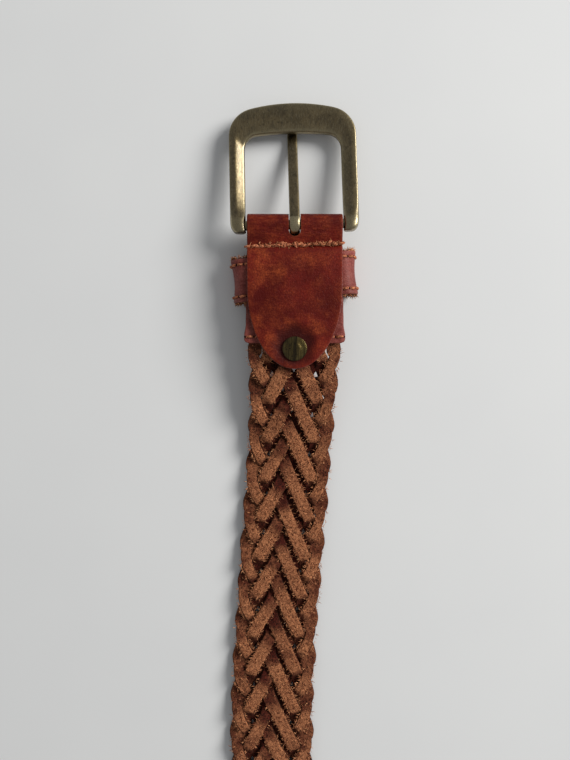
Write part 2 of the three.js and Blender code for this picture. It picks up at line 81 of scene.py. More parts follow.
CLEARANCE = 0.3
CHAPE_WIDTH = chape_high[0] - chape_low[0]
CHAPE_THICKNESS = 1.8
TONGUE_LENGTH = -chape_low[1]
TONGUE_TAPER = 33.5
FACING_WIDTH = facing_high[0] - facing_low[0]
FACING_NECK_WIDTH = 39
FACING_START = -facing_high[1]
FACING_END = -facing_low[1]
FACING_THICKNESS = 1.2
KEEPER_HEIGHT = keeper_high[2]
KEEPER_WALL = 1.6
KEEPER_BAND = 18.3
KEEPER_OFFSET = -(keeper_low[1] + keeper_high[1]) / 2
KEEPER_TURN = radians(4.3)
KEEPER_CORNER = 6
KEEPER_INSIDE = FACING_WIDTH / 2 + 3.9
KEEPER_SEAM = 2.5
TIP_SEAM = 2.6
CHANNEL_DEPTH = 0.3
CHAPE_SPREAD = 4.05
FACING_SPREAD = 2.25
SCREW_HOLE_RADIUS = 2.7
BUCKLE_TURN = radians(1.4)
SCREW_OFFSET = -(screw_low[1] + screw_high[1]) / 2
SCREW_RADIUS = (screw_high[0] - screw_low[0]) / 2
BAR_RADIUS = (bar_high[2] - bar_low[2]) / 2
FOLD_RADIUS = BAR_RADIUS + 0.6 + CHAPE_THICKNESS / 2
FRONT_LEVEL = BAR_HEIGHT - FOLD_RADIUS
BACK_LEVEL = KEEPER_HEIGHT + CLEARANCE + CHAPE_THICKNESS / 2
SEAM_OFFSET = 9
SEAM_LEVEL = BAR_HEIGHT + FOLD_RADIUS - 2
SEAM_TOP = SEAM_LEVEL + CHAPE_THICKNESS / 2
SEAM_SLANT = 0.035

BRAID_STEP = 9.03
BRAID_STEPS = 98
BRAID_WIDTH = 37.4
STRAND_COUNT = 8
STRAND_WIDTH = 6.2
TOP_WIDTH = 5.8
STRAND_THICKNESS = 2.25
FIRST_ROW = SCREW_OFFSET + 1.1
HEAD_LEVEL = (post_low[2] + screw_high[2]) / 2
LAST_ROW = FIRST_ROW + BRAID_STEPS * BRAID_STEP
DRIFT = (tip_low[0] + tip_high[0]) / 2
TIP_WIDTH = tip_high[0] - tip_low[0]
TIP_GRIP = 12
PARE_LENGTH = 8
PARE_BEFORE_TIP = 16
HEAD_FALL_START = 56
HEAD_FALL_LENGTH = 48
TIP_TAPER = 24
TIP_THICKNESS = tip_high[2]

rng = np.random.default_rng(7)


# Meshes


def place(points):
    """Belt coordinates in millimetres to the row's metres."""
    return (np.asarray(points, float) + BELT_ORIGIN) * MM


def into_scene(piece):
    bpy.context.scene.collection.objects.link(piece)
    return piece


def configured(thing, **settings):
    """The same thing with its settings made."""
    for key, value in settings.items():
        setattr(thing, key, value)
    return thing


def all_smooth(mesh):
    mesh.polygons.foreach_set("use_smooth", [True] * len(mesh.polygons))


def new_object(name, points, faces, attributes=None):
    """A mesh in the scene, with an attribute on its points for each list of numbers or directions."""
    mesh = bpy.data.meshes.new(name)
    mesh.from_pydata(place(points).tolist(), [], [tuple(int(i) for i in f) for f in faces])
    for key, values in (attributes or {}).items():
        values = np.asarray(values, np.float32)
        kind, field = ("FLOAT", "value") if values.ndim == 1 else ("FLOAT_VECTOR", "vector")
        mesh.attributes.new(key, kind, "POINT").data.foreach_set(field, values.ravel())
    all_smooth(mesh)
    mesh.update()
    return into_scene(bpy.data.objects.new(name, mesh))


def face_outwards(piece):
    work = bmesh.new()
    work.from_mesh(piece.data)
    bmesh.ops.remove_doubles(work, verts=work.verts, dist=1e-7)
    bmesh.ops.recalc_face_normals(work, faces=work.faces)
    work.to_mesh(piece.data)
    work.free()


def apply_modifiers(piece):
    """Makes the evaluated result the object's own mesh."""
    graph = bpy.context.evaluated_depsgraph_get()
    graph.update()
    made = bpy.data.meshes.new_from_object(piece.evaluated_get(graph))
    piece.modifiers.clear()
    piece.data = made


def subdivide(piece, levels):
    configured(piece.modifiers.new("smooth", "SUBSURF"), levels=levels, render_levels=levels)
    apply_modifiers(piece)
    all_smooth(piece.data)


def cut_away(piece, cutter):
    cut = piece.modifiers.new("cut", "BOOLEAN")
    configured(cut, operation="DIFFERENCE", solver="EXACT", object=cutter)
    apply_modifiers(piece)
    bpy.data.objects.remove(cutter)


def shade_by_angle(piece, degrees):
    """Smooth faces with sharp edges where they meet at more than an angle."""
    work = bmesh.new()
    work.from_mesh(piece.data)
    for edge in work.edges:
        edge.smooth = len(edge.link_faces) == 2 and edge.calc_face_angle() < radians(degrees)
    for face in work.faces:
        face.smooth = True
    work.to_mesh(piece.data)
    work.free()


def loft(name, rings, attributes=None, closed=False):
    """A skin over rings of points, with flat ends unless the last ring meets the first."""
    rings = np.asarray(rings, float)
    rows, columns = rings.shape[:2]
    faces = []
    for r in range(rows if closed else rows - 1):
        up = ((r + 1) % rows - r) * columns
        for c in range(columns):
            a, b = r * columns + c, r * columns + (c + 1) % columns
            faces.append((a, b, b + up, a + up))
    if not closed:
        faces.append(tuple(range(columns))[::-1])
        faces.append(tuple((rows - 1) * columns + k for k in range(columns)))
    piece = new_object(name, rings.reshape(-1, 3), faces, attributes)
    face_outwards(piece)
    return piece


def smooth_step(x):
    x = np.clip(x, 0, 1)
    return x * x * (3 - 2 * x)


def unit(vectors):
    return vectors / np.linalg.norm(vectors, axis=1)[:, None]


def turned_level(points, angle):
    """Points or directions turned about the vertical."""
    c, s = cos(angle), sin(angle)
    return np.asarray(points, float) @ np.array([[c, s, 0], [-s, c, 0], [0, 0, 1]])


def drifting(values, size, row, seed):
    """Smooth noise from -1 to 1 along a list of numbers."""
    return np.array([noise.noise(Vector((v / size, row, seed))) for v in values])


def rough(points, size, seed=0.0):
    """Smooth noise from -1 to 1 at each point, with features of about that size in millimetres."""
    shift = Vector((seed * 7.3, seed * 3.1, seed * 5.7))
    return np.array([noise.noise(Vector(p) / size + shift) for p in points])


def lengths_along(path):
    return np.concatenate([[0], np.cumsum(np.linalg.norm(np.diff(path, axis=0), axis=1))])


def resample(path, spacing, closed=False):
    """Points at an even spacing along a polyline."""
    path = np.asarray(path, float)
    if closed:
        path = np.vstack([path, path[:1]])
    along = lengths_along(path)
    count = max(int(round(along[-1] / spacing)), 2)
    wanted = np.linspace(0, along[-1], count + 1)
    made = np.stack([np.interp(wanted, along, path[:, k]) for k in range(path.shape[1])], axis=1)
    return made[:-1] if closed else made


def rounded(path, times=3):
    """Cuts a polyline's corners, keeping its ends."""
    path = np.asarray(path, float)
    for _ in range(times):
        a, b = path[:-1], path[1:]
        inner = np.empty((2 * len(a), path.shape[1]))
        inner[0::2] = 0.75 * a + 0.25 * b
        inner[1::2] = 0.25 * a + 0.75 * b
        path = np.vstack([path[:1], inner[1:-1], path[-1:]])
    return path


# Leather walls


def distance_to(outline, points):
    """Distance from each point to a polyline, in its plane."""
    fine = resample(outline, 0.4)
    best = np.full(len(points), 1e9)
    for start in range(0, len(points), 2000):
        block = points[start : start + 2000]
        gap = block[:, None, :] - fine[None, :, :]
        best[start : start + 2000] = np.sqrt((gap**2).sum(-1).min(axis=1))
    return best


def leather_wall(name, path, up, side, half_at, thickness, columns, closed=False, edge=0.55, wave=0.12, waist=0.0,
                 shoulder=0.8, channel=None):
    """A wall of leather along a path: a flat outline, half_at(distance), bent to it, with rounded cut edges.

    path holds points at an even spacing and up their outward directions. waist draws the middle in where the wall
    faces sideways. channel is how far in from the edge a seam sinks both faces a little. The attributes are rim, the
    distance to the nearest edge in millimetres, and grain, 1 on the outer side and 0 on the inner.
    """
    along = lengths_along(path)
    half = np.array([half_at(s, along[-1]) for s in along])
    across = np.sin(np.linspace(-pi / 2, pi / 2, columns))
    flat = np.stack(np.broadcast_arrays(half[:, None] * across, along[:, None]), axis=-1).reshape(-1, 2)
    if closed:
        rim = (half[:, None] - np.abs(half[:, None] * across)).reshape(-1)
    else:
        outline = np.vstack([np.stack([half, along], 1), np.stack([-half, along], 1)[::-1], [[half[0], along[0]]]])
        rim = distance_to(outline, flat)
        rim[np.isclose(np.abs(np.tile(across, len(along))), 1)] = 0
        rim[:columns] = rim[-columns:] = 0
    full = np.sqrt(1 - (1 - np.minimum(rim / shoulder, 1)) ** 2)
    lift = thickness / 2 * (edge + (1 - edge) * full)
    if channel:
        lift = lift - CHANNEL_DEPTH * np.exp(-(((rim - channel) / 0.7) ** 2))
    centre = np.repeat(path, columns, axis=0) + np.asarray(side) * flat[:, :1]
    normal = np.repeat(up, columns, axis=0)
    centre += normal * (rough(centre, 9, 1.5) * wave)[:, None]
    if waist:
        share = flat[:, 0] / np.repeat(half, columns)
        centre -= normal * (waist * (1 - share**2) ** 1.3 * smooth_step(np.abs(normal[:, 0]) * 1.2))[:, None]
    grid = (len(path), columns)
    outer = (centre + normal * lift[:, None]).reshape(*grid, 3)
    inner = (centre - normal * lift[:, None]).reshape(*grid, 3)[:, ::-1]
    rings = np.concatenate([outer, inner], axis=1)
    rim = rim.reshape(grid)
    rims = np.concatenate([rim, rim[:, ::-1]], axis=1).ravel()
    grain = np.concatenate([np.ones(grid), np.zeros(grid)], axis=1).ravel()
    return loft(name, rings, {"rim": rims, "grain": grain}, closed)


def bend_path(points, times=2, spacing=0.7):
    """A path in the YZ plane and its outward directions, turned left from the way it runs."""
    flat = resample(rounded(points, times), spacing)
    run = unit(np.gradient(flat, axis=0))
    return np.insert(flat, 0, 0, axis=1), np.insert(run[:, ::-1] * (1, -1), 0, 0, axis=1)


def tongue_half(from_tip, width, taper):
    share = min(max(from_tip, 0.02) / taper, 1)
    return width / 2 * sqrt(1 - (1 - share) ** 2)


def fold_arc(start, end, steps=14):
    angles = np.radians(np.linspace(start, end, steps))
    return np.stack([FOLD_RADIUS * np.cos(angles), BAR_HEIGHT + FOLD_RADIUS * np.sin(angles)], 1)


def make_chape():
    """Front tongue, fold with its slot, seam and back tongue, in one strip."""
    low, high = HEAD_LEVEL - CHAPE_SPREAD, HEAD_LEVEL + CHAPE_SPREAD
    front = [(-TONGUE_LENGTH, low), (-41, low), (-35, FRONT_LEVEL), (-12, FRONT_LEVEL)]
    back = [
        (1 - SEAM_OFFSET, SEAM_LEVEL + 0.1), (-SEAM_OFFSET, SEAM_LEVEL - 0.15), (-SEAM_OFFSET - 0.9, SEAM_LEVEL + 0.5),
        (-SEAM_OFFSET - 2.4, BACK_LEVEL), (-30, BACK_LEVEL), (-41, high), (-TONGUE_LENGTH, high),
    ]
    path, up = bend_path(np.vstack([front, fold_arc(-90, 97), back]), times=2, spacing=0.55)
    up = -up if up[len(up) // 2][1] < 0 else up

    def half_at(along, length):
        return tongue_half(min(along, length - along), CHAPE_WIDTH, TONGUE_TAPER)

    chape = leather_wall("chape_leather", path, up, (1, 0, 0), half_at, CHAPE_THICKNESS, columns=49, wave=0.14)
    cut_away(chape, slot_cutter())
    return pierced(chape)


def slot_cutter():
    """Cuts the prong's slot, round at its lower end."""
    radius, reach, beyond = 2.5, 5.3, BAR_RADIUS + 5
    turn = np.radians(np.linspace(180, 360, 17))
    outline = [(radius, beyond), (-radius, beyond)]
    return prism(outline + [(radius * cos(a), radius - reach + radius * sin(a)) for a in turn])


def pierced(piece):
    """The piece with the screw's hole cut through it."""
    turn = np.radians(np.arange(0, 360, 10))
    cut_away(piece, prism([(SCREW_HOLE_RADIUS * cos(a), SCREW_HOLE_RADIUS * sin(a) - SCREW_OFFSET) for a in turn]))
    shade_by_angle(piece, 50)
    return piece


def prism(outline, low=-5, high=40):
    """An upright solid to cut with."""
    count = len(outline)
    points = [(x, y, z) for z in (low, high) for x, y in outline]
    faces = [(k, (k + 1) % count, count + (k + 1) % count, count + k) for k in range(count)]
    cutter = new_object("cutter", points, faces + [tuple(range(count))[::-1], tuple(range(count, 2 * count))])
    face_outwards(cutter)
    return cutter


def make_facing(name, mid, side):
    """A flat layer beside the keeper that spreads from its pair over the braid's head."""
    spread = HEAD_LEVEL + side * FACING_SPREAD
    points = [(-FACING_START, mid), (-34, mid), (-36, mid), (-40, spread), (-42, spread), (-FACING_END, spread)]
    path, up = bend_path(points, spacing=0.6)
    up = up if up[0][2] > 0 else -up
    band_top, band_low = KEEPER_OFFSET - KEEPER_BAND / 2, KEEPER_OFFSET + KEEPER_BAND / 4

    def half_at(along, length):
        y = FACING_START + along
        half = np.interp(y, [band_top, band_low], [FACING_NECK_WIDTH / 2, FACING_WIDTH / 2])
        drawn_in = 0.75 * smooth_step((length - along - 3) / 5) * smooth_step((y - band_low) / 3)
        corner = max(0.0, 2.0 - (length - along))
        return half - drawn_in - (2.0 - sqrt(max(4.0 - corner**2, 0)))

    return pierced(
        leather_wall(name, path, up * side, (1, 0, 0), half_at, FACING_THICKNESS, columns=41, wave=0.05, edge=0.35,
                     shoulder=0.9)
    )


def keeper_path(spacing=0.7):
    """The keeper's middle surface, as points and outward directions, before it is turned out of square."""
    outer = KEEPER_INSIDE + KEEPER_WALL / 2
    low, high = KEEPER_WALL / 2, KEEPER_HEIGHT - KEEPER_WALL / 2
    radius = KEEPER_CORNER - KEEPER_WALL / 2
    x, low, high = outer - radius, low + radius, high - radius
    points, ups = [], []
    for x, z, start in ((x, low, -90), (x, high, 0), (-x, high, 90), (-x, low, 180)):
        for degrees in np.linspace(start, start + 90, 9):
            a = radians(degrees)
            points.append((x + radius * cos(a), z + radius * sin(a)))
            ups.append((cos(a), sin(a)))
    both = resample(np.hstack([points, ups]), spacing, closed=True)
    return np.insert(both[:, :2], 1, 0, axis=1), unit(np.insert(both[:, 2:], 1, 0, axis=1))


def turn_keeper(points, vectors=False):
    """Turns the keeper's points or directions out of square, and sets points in their place."""
    turned = turned_level(points, KEEPER_TURN)
    return turned if vectors else turned + (0, -KEEPER_OFFSET, 0)


def make_keeper():
    path, up = keeper_path()
    return leather_wall(
        "keeper_leather", turn_keeper(path), turn_keeper(up, vectors=True), (-sin(KEEPER_TURN), cos(KEEPER_TURN), 0),
        lambda along, length: KEEPER_BAND / 2, KEEPER_WALL, columns=31, closed=True, wave=0.05, waist=1.0, edge=0.3,
        shoulder=1.0, channel=KEEPER_SEAM,
    )


def make_tip(name, back):
    """One layer of the plain tip at the far end."""
    start, end = tip_high[1], tip_low[1]
    flat = TIP_THICKNESS / 2
    closed = TIP_THICKNESS + CLEARANCE + flat
    over = tip_back_high[2] - flat
    points = [(start, flat), (end, flat)]
    if back:
        points = [(start, over), (start - 14, over), (start - 18, (over + closed) / 2)]
        points += [(start - 25, closed), (end, closed)]
    path, up = bend_path(points, times=3)
    path = path + (DRIFT, 0, 0)
    up = up if up[0][2] > 0 else -up
    return leather_wall(
        name, path, up * (1 if back else -1), (1, 0, 0),
        lambda along, length: tongue_half(length - along, TIP_WIDTH, TIP_TAPER), TIP_THICKNESS, columns=45, wave=0.03,
        channel=TIP_SEAM,
    )


# Braid

TURN_STEPS = STRAND_COUNT
EDGE_ROUNDING = 0.5
EDGE_NARROWING = 1.2
COLUMN = (BRAID_WIDTH - STRAND_WIDTH) / (TURN_STEPS - 2 * EDGE_ROUNDING)
TOP_RUN = ["right", "left", "left", "right", "right", "right", "left"]


def knot_level(phase):
    """1 where a strand lies over the other at a whole phase, -1 where it lies under, 0 at the edges."""
    p = phase % (2 * TURN_STEPS)
    if p % TURN_STEPS == 0:
        return 0
    rightward = p < TURN_STEPS
    column = p if rightward else 2 * TURN_STEPS - p
    return 1 if (TOP_RUN[column - 1] == "right") == rightward else -1


KNOTS = np.array([knot_level(p) for p in range(2 * TURN_STEPS + 1)])


def strand_level(phase):
    """The strand's side of the braid at any phase, from -1 to 1, with eased climbs between crossings."""
    p = phase % (2 * TURN_STEPS)
    base = np.floor(p).astype(int)
    part = p - base
    low, high = KNOTS[base], KNOTS[base + 1]
    eased = smooth_step((part - 0.26) / 0.48)
    level = low + (high - low) * eased
    for turn in (0, TURN_STEPS, 2 * TURN_STEPS):
        d = p - turn
        near = np.abs(d) < 1
        before = KNOTS[(turn - 1) % (2 * TURN_STEPS)]
        after = KNOTS[(turn + 1) % (2 * TURN_STEPS)]
        level = np.where(near, before + (after - before) * smooth_step((d + 0.75) / 1.5), level)
    return level


def strand_across(phase):
    """Columns from the braid's middle, with a rounded turn at either edge."""
    p = phase % (2 * TURN_STEPS)
    wave = np.where(p < TURN_STEPS, p - TURN_STEPS / 2, 1.5 * TURN_STEPS - p)
    inset = np.maximum(np.abs(wave) - (TURN_STEPS / 2 - 1), 0)
    soft = np.where(inset > 0, TURN_STEPS / 2 - EDGE_ROUNDING - EDGE_ROUNDING * (1 - inset) ** 2, np.abs(wave))
    return np.sign(wave) * soft


def edge_share(across, level):
    """1 where a strand lies on top at the braid's edge, 0 in the middle or below."""
    return smooth_step((np.abs(across) - 1.7) / 1.2) * smooth_step(level / 0.5)


def tip_share(y):
    """0 along the braid, 1 where the tip holds it."""
    return smooth_step((TIP_GRIP + PARE_BEFORE_TIP - LAST_ROW - y) / PARE_LENGTH)


def pared(y):
    """0 where the strands are whole, 1 where their ends are held."""
    return np.maximum(smooth_step((y + FACING_END + PARE_LENGTH) / PARE_LENGTH), tip_share(y))


def braid_height(y):
    sunk = smooth_step((-y - HEAD_FALL_START) / HEAD_FALL_LENGTH)
    flat = STRAND_THICKNESS + CLEARANCE / 2
    rest = flat + (TIP_THICKNESS + CLEARANCE + 1.35 - flat) * tip_share(y)
    return HEAD_LEVEL + (rest - HEAD_LEVEL) * sunk


def braid_shift(y):
    spread = 1 + 0.09 * smooth_step(1 + (y + SCREW_OFFSET) / 20)
    drift = DRIFT * smooth_step((-y - 40) / 200)
    return spread, drift


# A strand's section, from its left edge over the top. Columns: share of half the width, of half the thickness.
UPPER = [(1, 0.1), (1, 0.55), (0.95, 0.86), (0.84, 0.98), (0.7, 1.01), (0.56, 1.02), (0.42, 1.03), (0.28, 1.03),
         (0.14, 1.04)]
LOWER = [(0.98, -0.5), (0.9, -0.92), (0.5, -1)]
MIDDLE_TOP, MIDDLE_LOW = [(0, 1.04)], [(0, -1)]
SECTION = np.array([(-x, z) for x, z in UPPER] + MIDDLE_TOP + UPPER[::-1] + LOWER + MIDDLE_LOW
                   + [(-x, z) for x, z in LOWER[::-1]])
NAP = np.array([0.1, 0.35, 0.65, 0.9] + [1.0] * 11 + [0.9, 0.65, 0.35, 0.1, 0.05, 0, 0, 0, 0, 0, 0.05])
GRAIN_SIDE = (SECTION[:, 1] < -0.9).astype(float)


def strand_steps(number):
    """Steps at which a strand has a section, close together in the stretch that the picture shows."""
    meets_screw = abs(strand_across(np.array([2.0 * number]))[0]) < 0.5
    start = 0.55 if meets_screw else -1.15
    near = np.arange(start, 26, 0.044)
    far = np.arange(near[-1] + 0.044, BRAID_STEPS, 0.12)
    return np.concatenate([near, far, [BRAID_STEPS]])


def strand_line(number, steps):
    """Centre line of a strand, its directions, and how far it is on the upper side."""
    phase = steps + 2 * number
    y = -FIRST_ROW - steps * BRAID_STEP
    wobble = 0.28 * drifting(steps, 2.3, number * 5.1, 0)
    bob = 0.22 * drifting(steps, 1.7, number * 3.7, 9)
    spread, drift = braid_shift(y)
    level = strand_level(phase)
    across = strand_across(phase)
    across = across * COLUMN + np.sign(across) * EDGE_NARROWING / 2 * edge_share(across, level)
    x = (across + wobble) * spread + drift
    thickness = STRAND_THICKNESS + (1.2 - STRAND_THICKNESS) * pared(y)
    z = level * (thickness + CLEARANCE) / 2 + braid_height(y) + bob * (1 - pared(y)) * np.maximum(level, 0)
    line = np.stack([x, y, z], 1)
    run = unit(np.gradient(line, axis=0))
    return line, run, level, thickness


def strand_wear_and_shade(number, steps, level):
    """How far a strand is rubbed light by wear; its dark parts, where it comes out from under another, are painted
    shade; light before it goes under.
    """
    above = level > 0.15
    wear_and_shade = np.zeros(len(steps))
    starts = np.flatnonzero(above & ~np.concatenate([[False], above[:-1]]))
    for index, first in enumerate(starts):
        last = first
        while last + 1 < len(steps) and above[last + 1]:
            last += 1
        run = steps[first : last + 1]
        since, until = run - run[0], run[-1] - run
        amount = 0.9 + 0.4 * noise.noise(Vector((number * 3.3 + 0.5, index * 2.7, 0.5)))
        wear_and_shade[first : last + 1] = amount * (0.15 + 0.85 * smooth_step(since / 0.85)) * smooth_step(0.4 + until / 0.4)
    outside = smooth_step((np.abs(strand_across(steps + 2 * number)) - 2.6) / 0.8)
    return np.clip(np.maximum(wear_and_shade, 0.4 * outside), 0, 1)


def make_strand(number):
    """One thong: flesh side up with a raised nap, smooth on its edges and front."""
    steps = strand_steps(number)
    line, run, level, thickness = strand_line(number, steps)
    side = unit(np.stack([-run[:, 1], run[:, 0], np.zeros(len(run))], 1))
    up = np.cross(run, side)
    up *= np.sign(up[:, 2])[:, None]
    width = TOP_WIDTH * (1 + 0.16 * drifting(steps, 1.9, number * 9.7, 3))
    width += 2.3 * smooth_step(0.25 - level) * (1 - pared(line[:, 1]))
    width -= EDGE_NARROWING * edge_share(strand_across(steps + 2 * number), level)
    offset = SECTION[None, :, :] * np.stack([width / 2, thickness / 2], 1)[:, None, :]
    rings = line[:, None, :] + offset[..., :1] * side[:, None, :] + offset[..., 1:] * up[:, None, :]
    points = rings.reshape(-1, 3)
    nap = np.tile(NAP, len(steps))
    away = unit((rings - line[:, None, :]).reshape(-1, 3))
    coarse = (0.3 - np.abs(rough(points, 1.7, number + 1))) * 0.36 + rough(points, 0.8, number + 20) * 0.2
    edge = np.tile(np.abs(SECTION[:, 0]) > 0.8, len(steps))
    held = 1 - 0.7 * np.repeat(pared(line[:, 1]), len(SECTION))
    points = points + away * (coarse * nap * held * np.where(edge, 1.25, 1.0))[:, None]
    points[:, 2] = np.maximum(points[:, 2], 0.02)
    # Rubbed wear, with painted shade where the strand comes out from under another.
    wear_and_shade = np.repeat(strand_wear_and_shade(number, steps, level), len(SECTION))
    rings = points.reshape(rings.shape)
    layers = {"nap": nap, "wear_and_shade": wear_and_shade, "relief": coarse * nap, "grain": np.tile(GRAIN_SIDE, len(steps))}
    return loft(f"thong_{number + 1}", rings, layers)


# Buckle

FRAME_INSIDE = CHAPE_WIDTH / 2 + 0.6
ARM_WIDTH = 6.7
FRAME_OUTER_END = 52.5
FRAME_INNER_END = 40
FRAME_THICKNESS = 4.6
FRAME_HEEL = 3.4
FRAME_BOW = 1.5
PRONG_WIDTH = 4.4
PRONG_THICKNESS = 2.4
PRONG_LENGTH = 49.5
DRIVER_SLOT_WIDTH = 1.2
DRIVER_SLOT_DEPTH = 0.75
DRIVER_SLOT_TURN = -0.06

# Sections of the frame from its outer edge over the back to the inner edge and round the front.
# Columns: share of the way inwards, share of half the thickness.
HEEL_SECTION = [
    (0, 0.0), (0.02, 0.45), (0.09, 0.8), (0.22, 0.97), (0.42, 1.03), (0.6, 1.03), (0.82, 0.96), (0.95, 0.8), (1, 0.4),
    (1, -0.6), (0.84, -0.96), (0.5, -1), (0.16, -0.92), (0.02, -0.5),
]
ARM_SECTION = [
    (0, 0.0), (0.01, 0.6), (0.03, 0.88), (0.09, 0.97), (0.36, 1.0), (0.45, 0.97), (0.86, 0.42), (0.93, 0.38),
    (1, 0.1), (1, -0.4), (0.84, -0.88), (0.5, -1), (0.16, -0.88), (0.01, -0.45),
]
TOP_SECTION = [
    (0, 0.0), (0.01, 0.5), (0.03, 0.8), (0.08, 0.93), (0.36, 1.03), (0.66, 1.0), (0.9, 0.86), (0.95, 0.78),
    (1, 0.4), (1, -0.35), (0.9, -0.85), (0.5, -1), (0.1, -0.85), (0.01, -0.4),
]
# How far the brass is rubbed bright at each point of those sections.
FRAME_WEAR = np.array([0.1, 0.2, 0.45, 0.1, 0, 0, 0.1, 0.5, 0.3, 0, 0.2, 0, 0.2, 0.1])
# Columns: share of the arm from its heel, how far its outer edge is drawn in, share of the full thickness.
ARM_STATIONS = [
    (0, 2.3, 0.72), (0.02, 1.3, 0.9), (0.05, 0.5, 0.99), (0.09, 0.1, 1.02), (0.13, 0, 1.02), (0.17, 0, 1),
    (0.21, 0, 1), (0.25, 0, 1), (0.4, 0, 1), (0.6, 0, 1), (0.8, 0, 1), (1, 0, 1),
]
HEEL_STATIONS = 6
CORNER_STEPS = 9
ARCH_STEPS = 7


def frame_side(half, top, arch, corner):
    """One side of the frame's outline: the arm, the corner and half the far edge."""
    centre = top - arch
    corner_x = half - corner
    corner_y = centre + sqrt((arch - corner) ** 2 - corner_x**2)
    meet = atan2(corner_y - centre, corner_x)
    arm = [(half, -FRAME_HEEL + (corner_y + FRAME_HEEL) * share) for share, _, _ in ARM_STATIONS]
    turn = [meet * (i + 1) / CORNER_STEPS for i in range(CORNER_STEPS)]
    bend = [(corner_x + corner * cos(a), corner_y + corner * sin(a)) for a in turn]
    rest = [meet + (pi / 2 - meet) * (i + 1) / ARCH_STEPS for i in range(ARCH_STEPS)]
    far = [(arch * cos(a), centre + arch * sin(a)) for a in rest]
    return np.array(arm + bend + far)


def bow(y):
    share = np.clip(y / FRAME_OUTER_END, 0, 1)
    return 4 * FRAME_BOW * share * (1 - share)


def turn_buckle(points, tilt):
    """Tips points about the bar and turns them out of square, as the buckle lies."""
    c, s = cos(-tilt), sin(-tilt)
    points = np.asarray(points, float) @ np.array([[1, 0, 0], [0, c, s], [0, -s, c]])
    return turned_level(points + (0, 0, BAR_HEIGHT), BUCKLE_TURN)


def frame_tilt():
    wanted = PRONG_THICKNESS + CLEARANCE + FRAME_THICKNESS / 2 + bow(PRONG_LENGTH)
    return asin((BAR_HEIGHT - wanted) / PRONG_LENGTH)


def make_buckle_frame():
    out = frame_side(FRAME_INSIDE + ARM_WIDTH, FRAME_OUTER_END, 80, 12)
    hole = frame_side(FRAME_INSIDE, FRAME_INNER_END, 150, 6)
    arms = len(ARM_STATIONS)
    half = []
    for i, ((out_x, out_y), (hole_x, hole_y)) in enumerate(zip(out, hole)):
        _, drawn_in, thick = ARM_STATIONS[min(i, arms - 1)]
        to_arm = smooth_step((i - HEEL_STATIONS + 1) / 3)
        to_top = smooth_step((i - arms + 1) / (CORNER_STEPS - 1))
        section = np.array(HEEL_SECTION) * (1 - to_arm) + np.array(ARM_SECTION) * to_arm
        section = section * (1 - to_top) + np.array(TOP_SECTION) * to_top
        swell = 1 + 0.16 * (1 - to_arm)
        across, rise = section[:, 0], section[:, 1]
        y = out_y + (hole_y - out_y) * across
        x = (out_x - drawn_in) + (hole_x - out_x + drawn_in) * across
        half.append(np.stack([x, y, rise * FRAME_THICKNESS / 2 * thick * swell - bow(y)], 1))
    mirrored = [ring * (-1, 1, 1) for ring in half[:-1]][::-1]
    rings = np.array(half + mirrored)
    knuckle = np.concatenate([np.full(5, 0.3), np.zeros(len(rings) - 10), np.full(5, 0.3)])
    on_top = np.abs(np.linspace(-1, 1, len(rings))) < 0.45
    # Painted highlight: a light line along the top bar's outer rim, added to the rubbed wear.
    painted_rim_highlight = np.isin(np.arange(len(FRAME_WEAR)), (1, 2)) * 0.5
    wear_and_highlight = np.clip(FRAME_WEAR[None, :] + knuckle[:, None] + np.outer(on_top, painted_rim_highlight), 0, 1).reshape(-1)
    placed = turn_buckle(rings.reshape(-1, 3), frame_tilt()).reshape(rings.shape)
    buckle = loft("buckle_casting", placed, {"wear_and_highlight": wear_and_highlight})
    subdivide(buckle, 2)
    return buckle


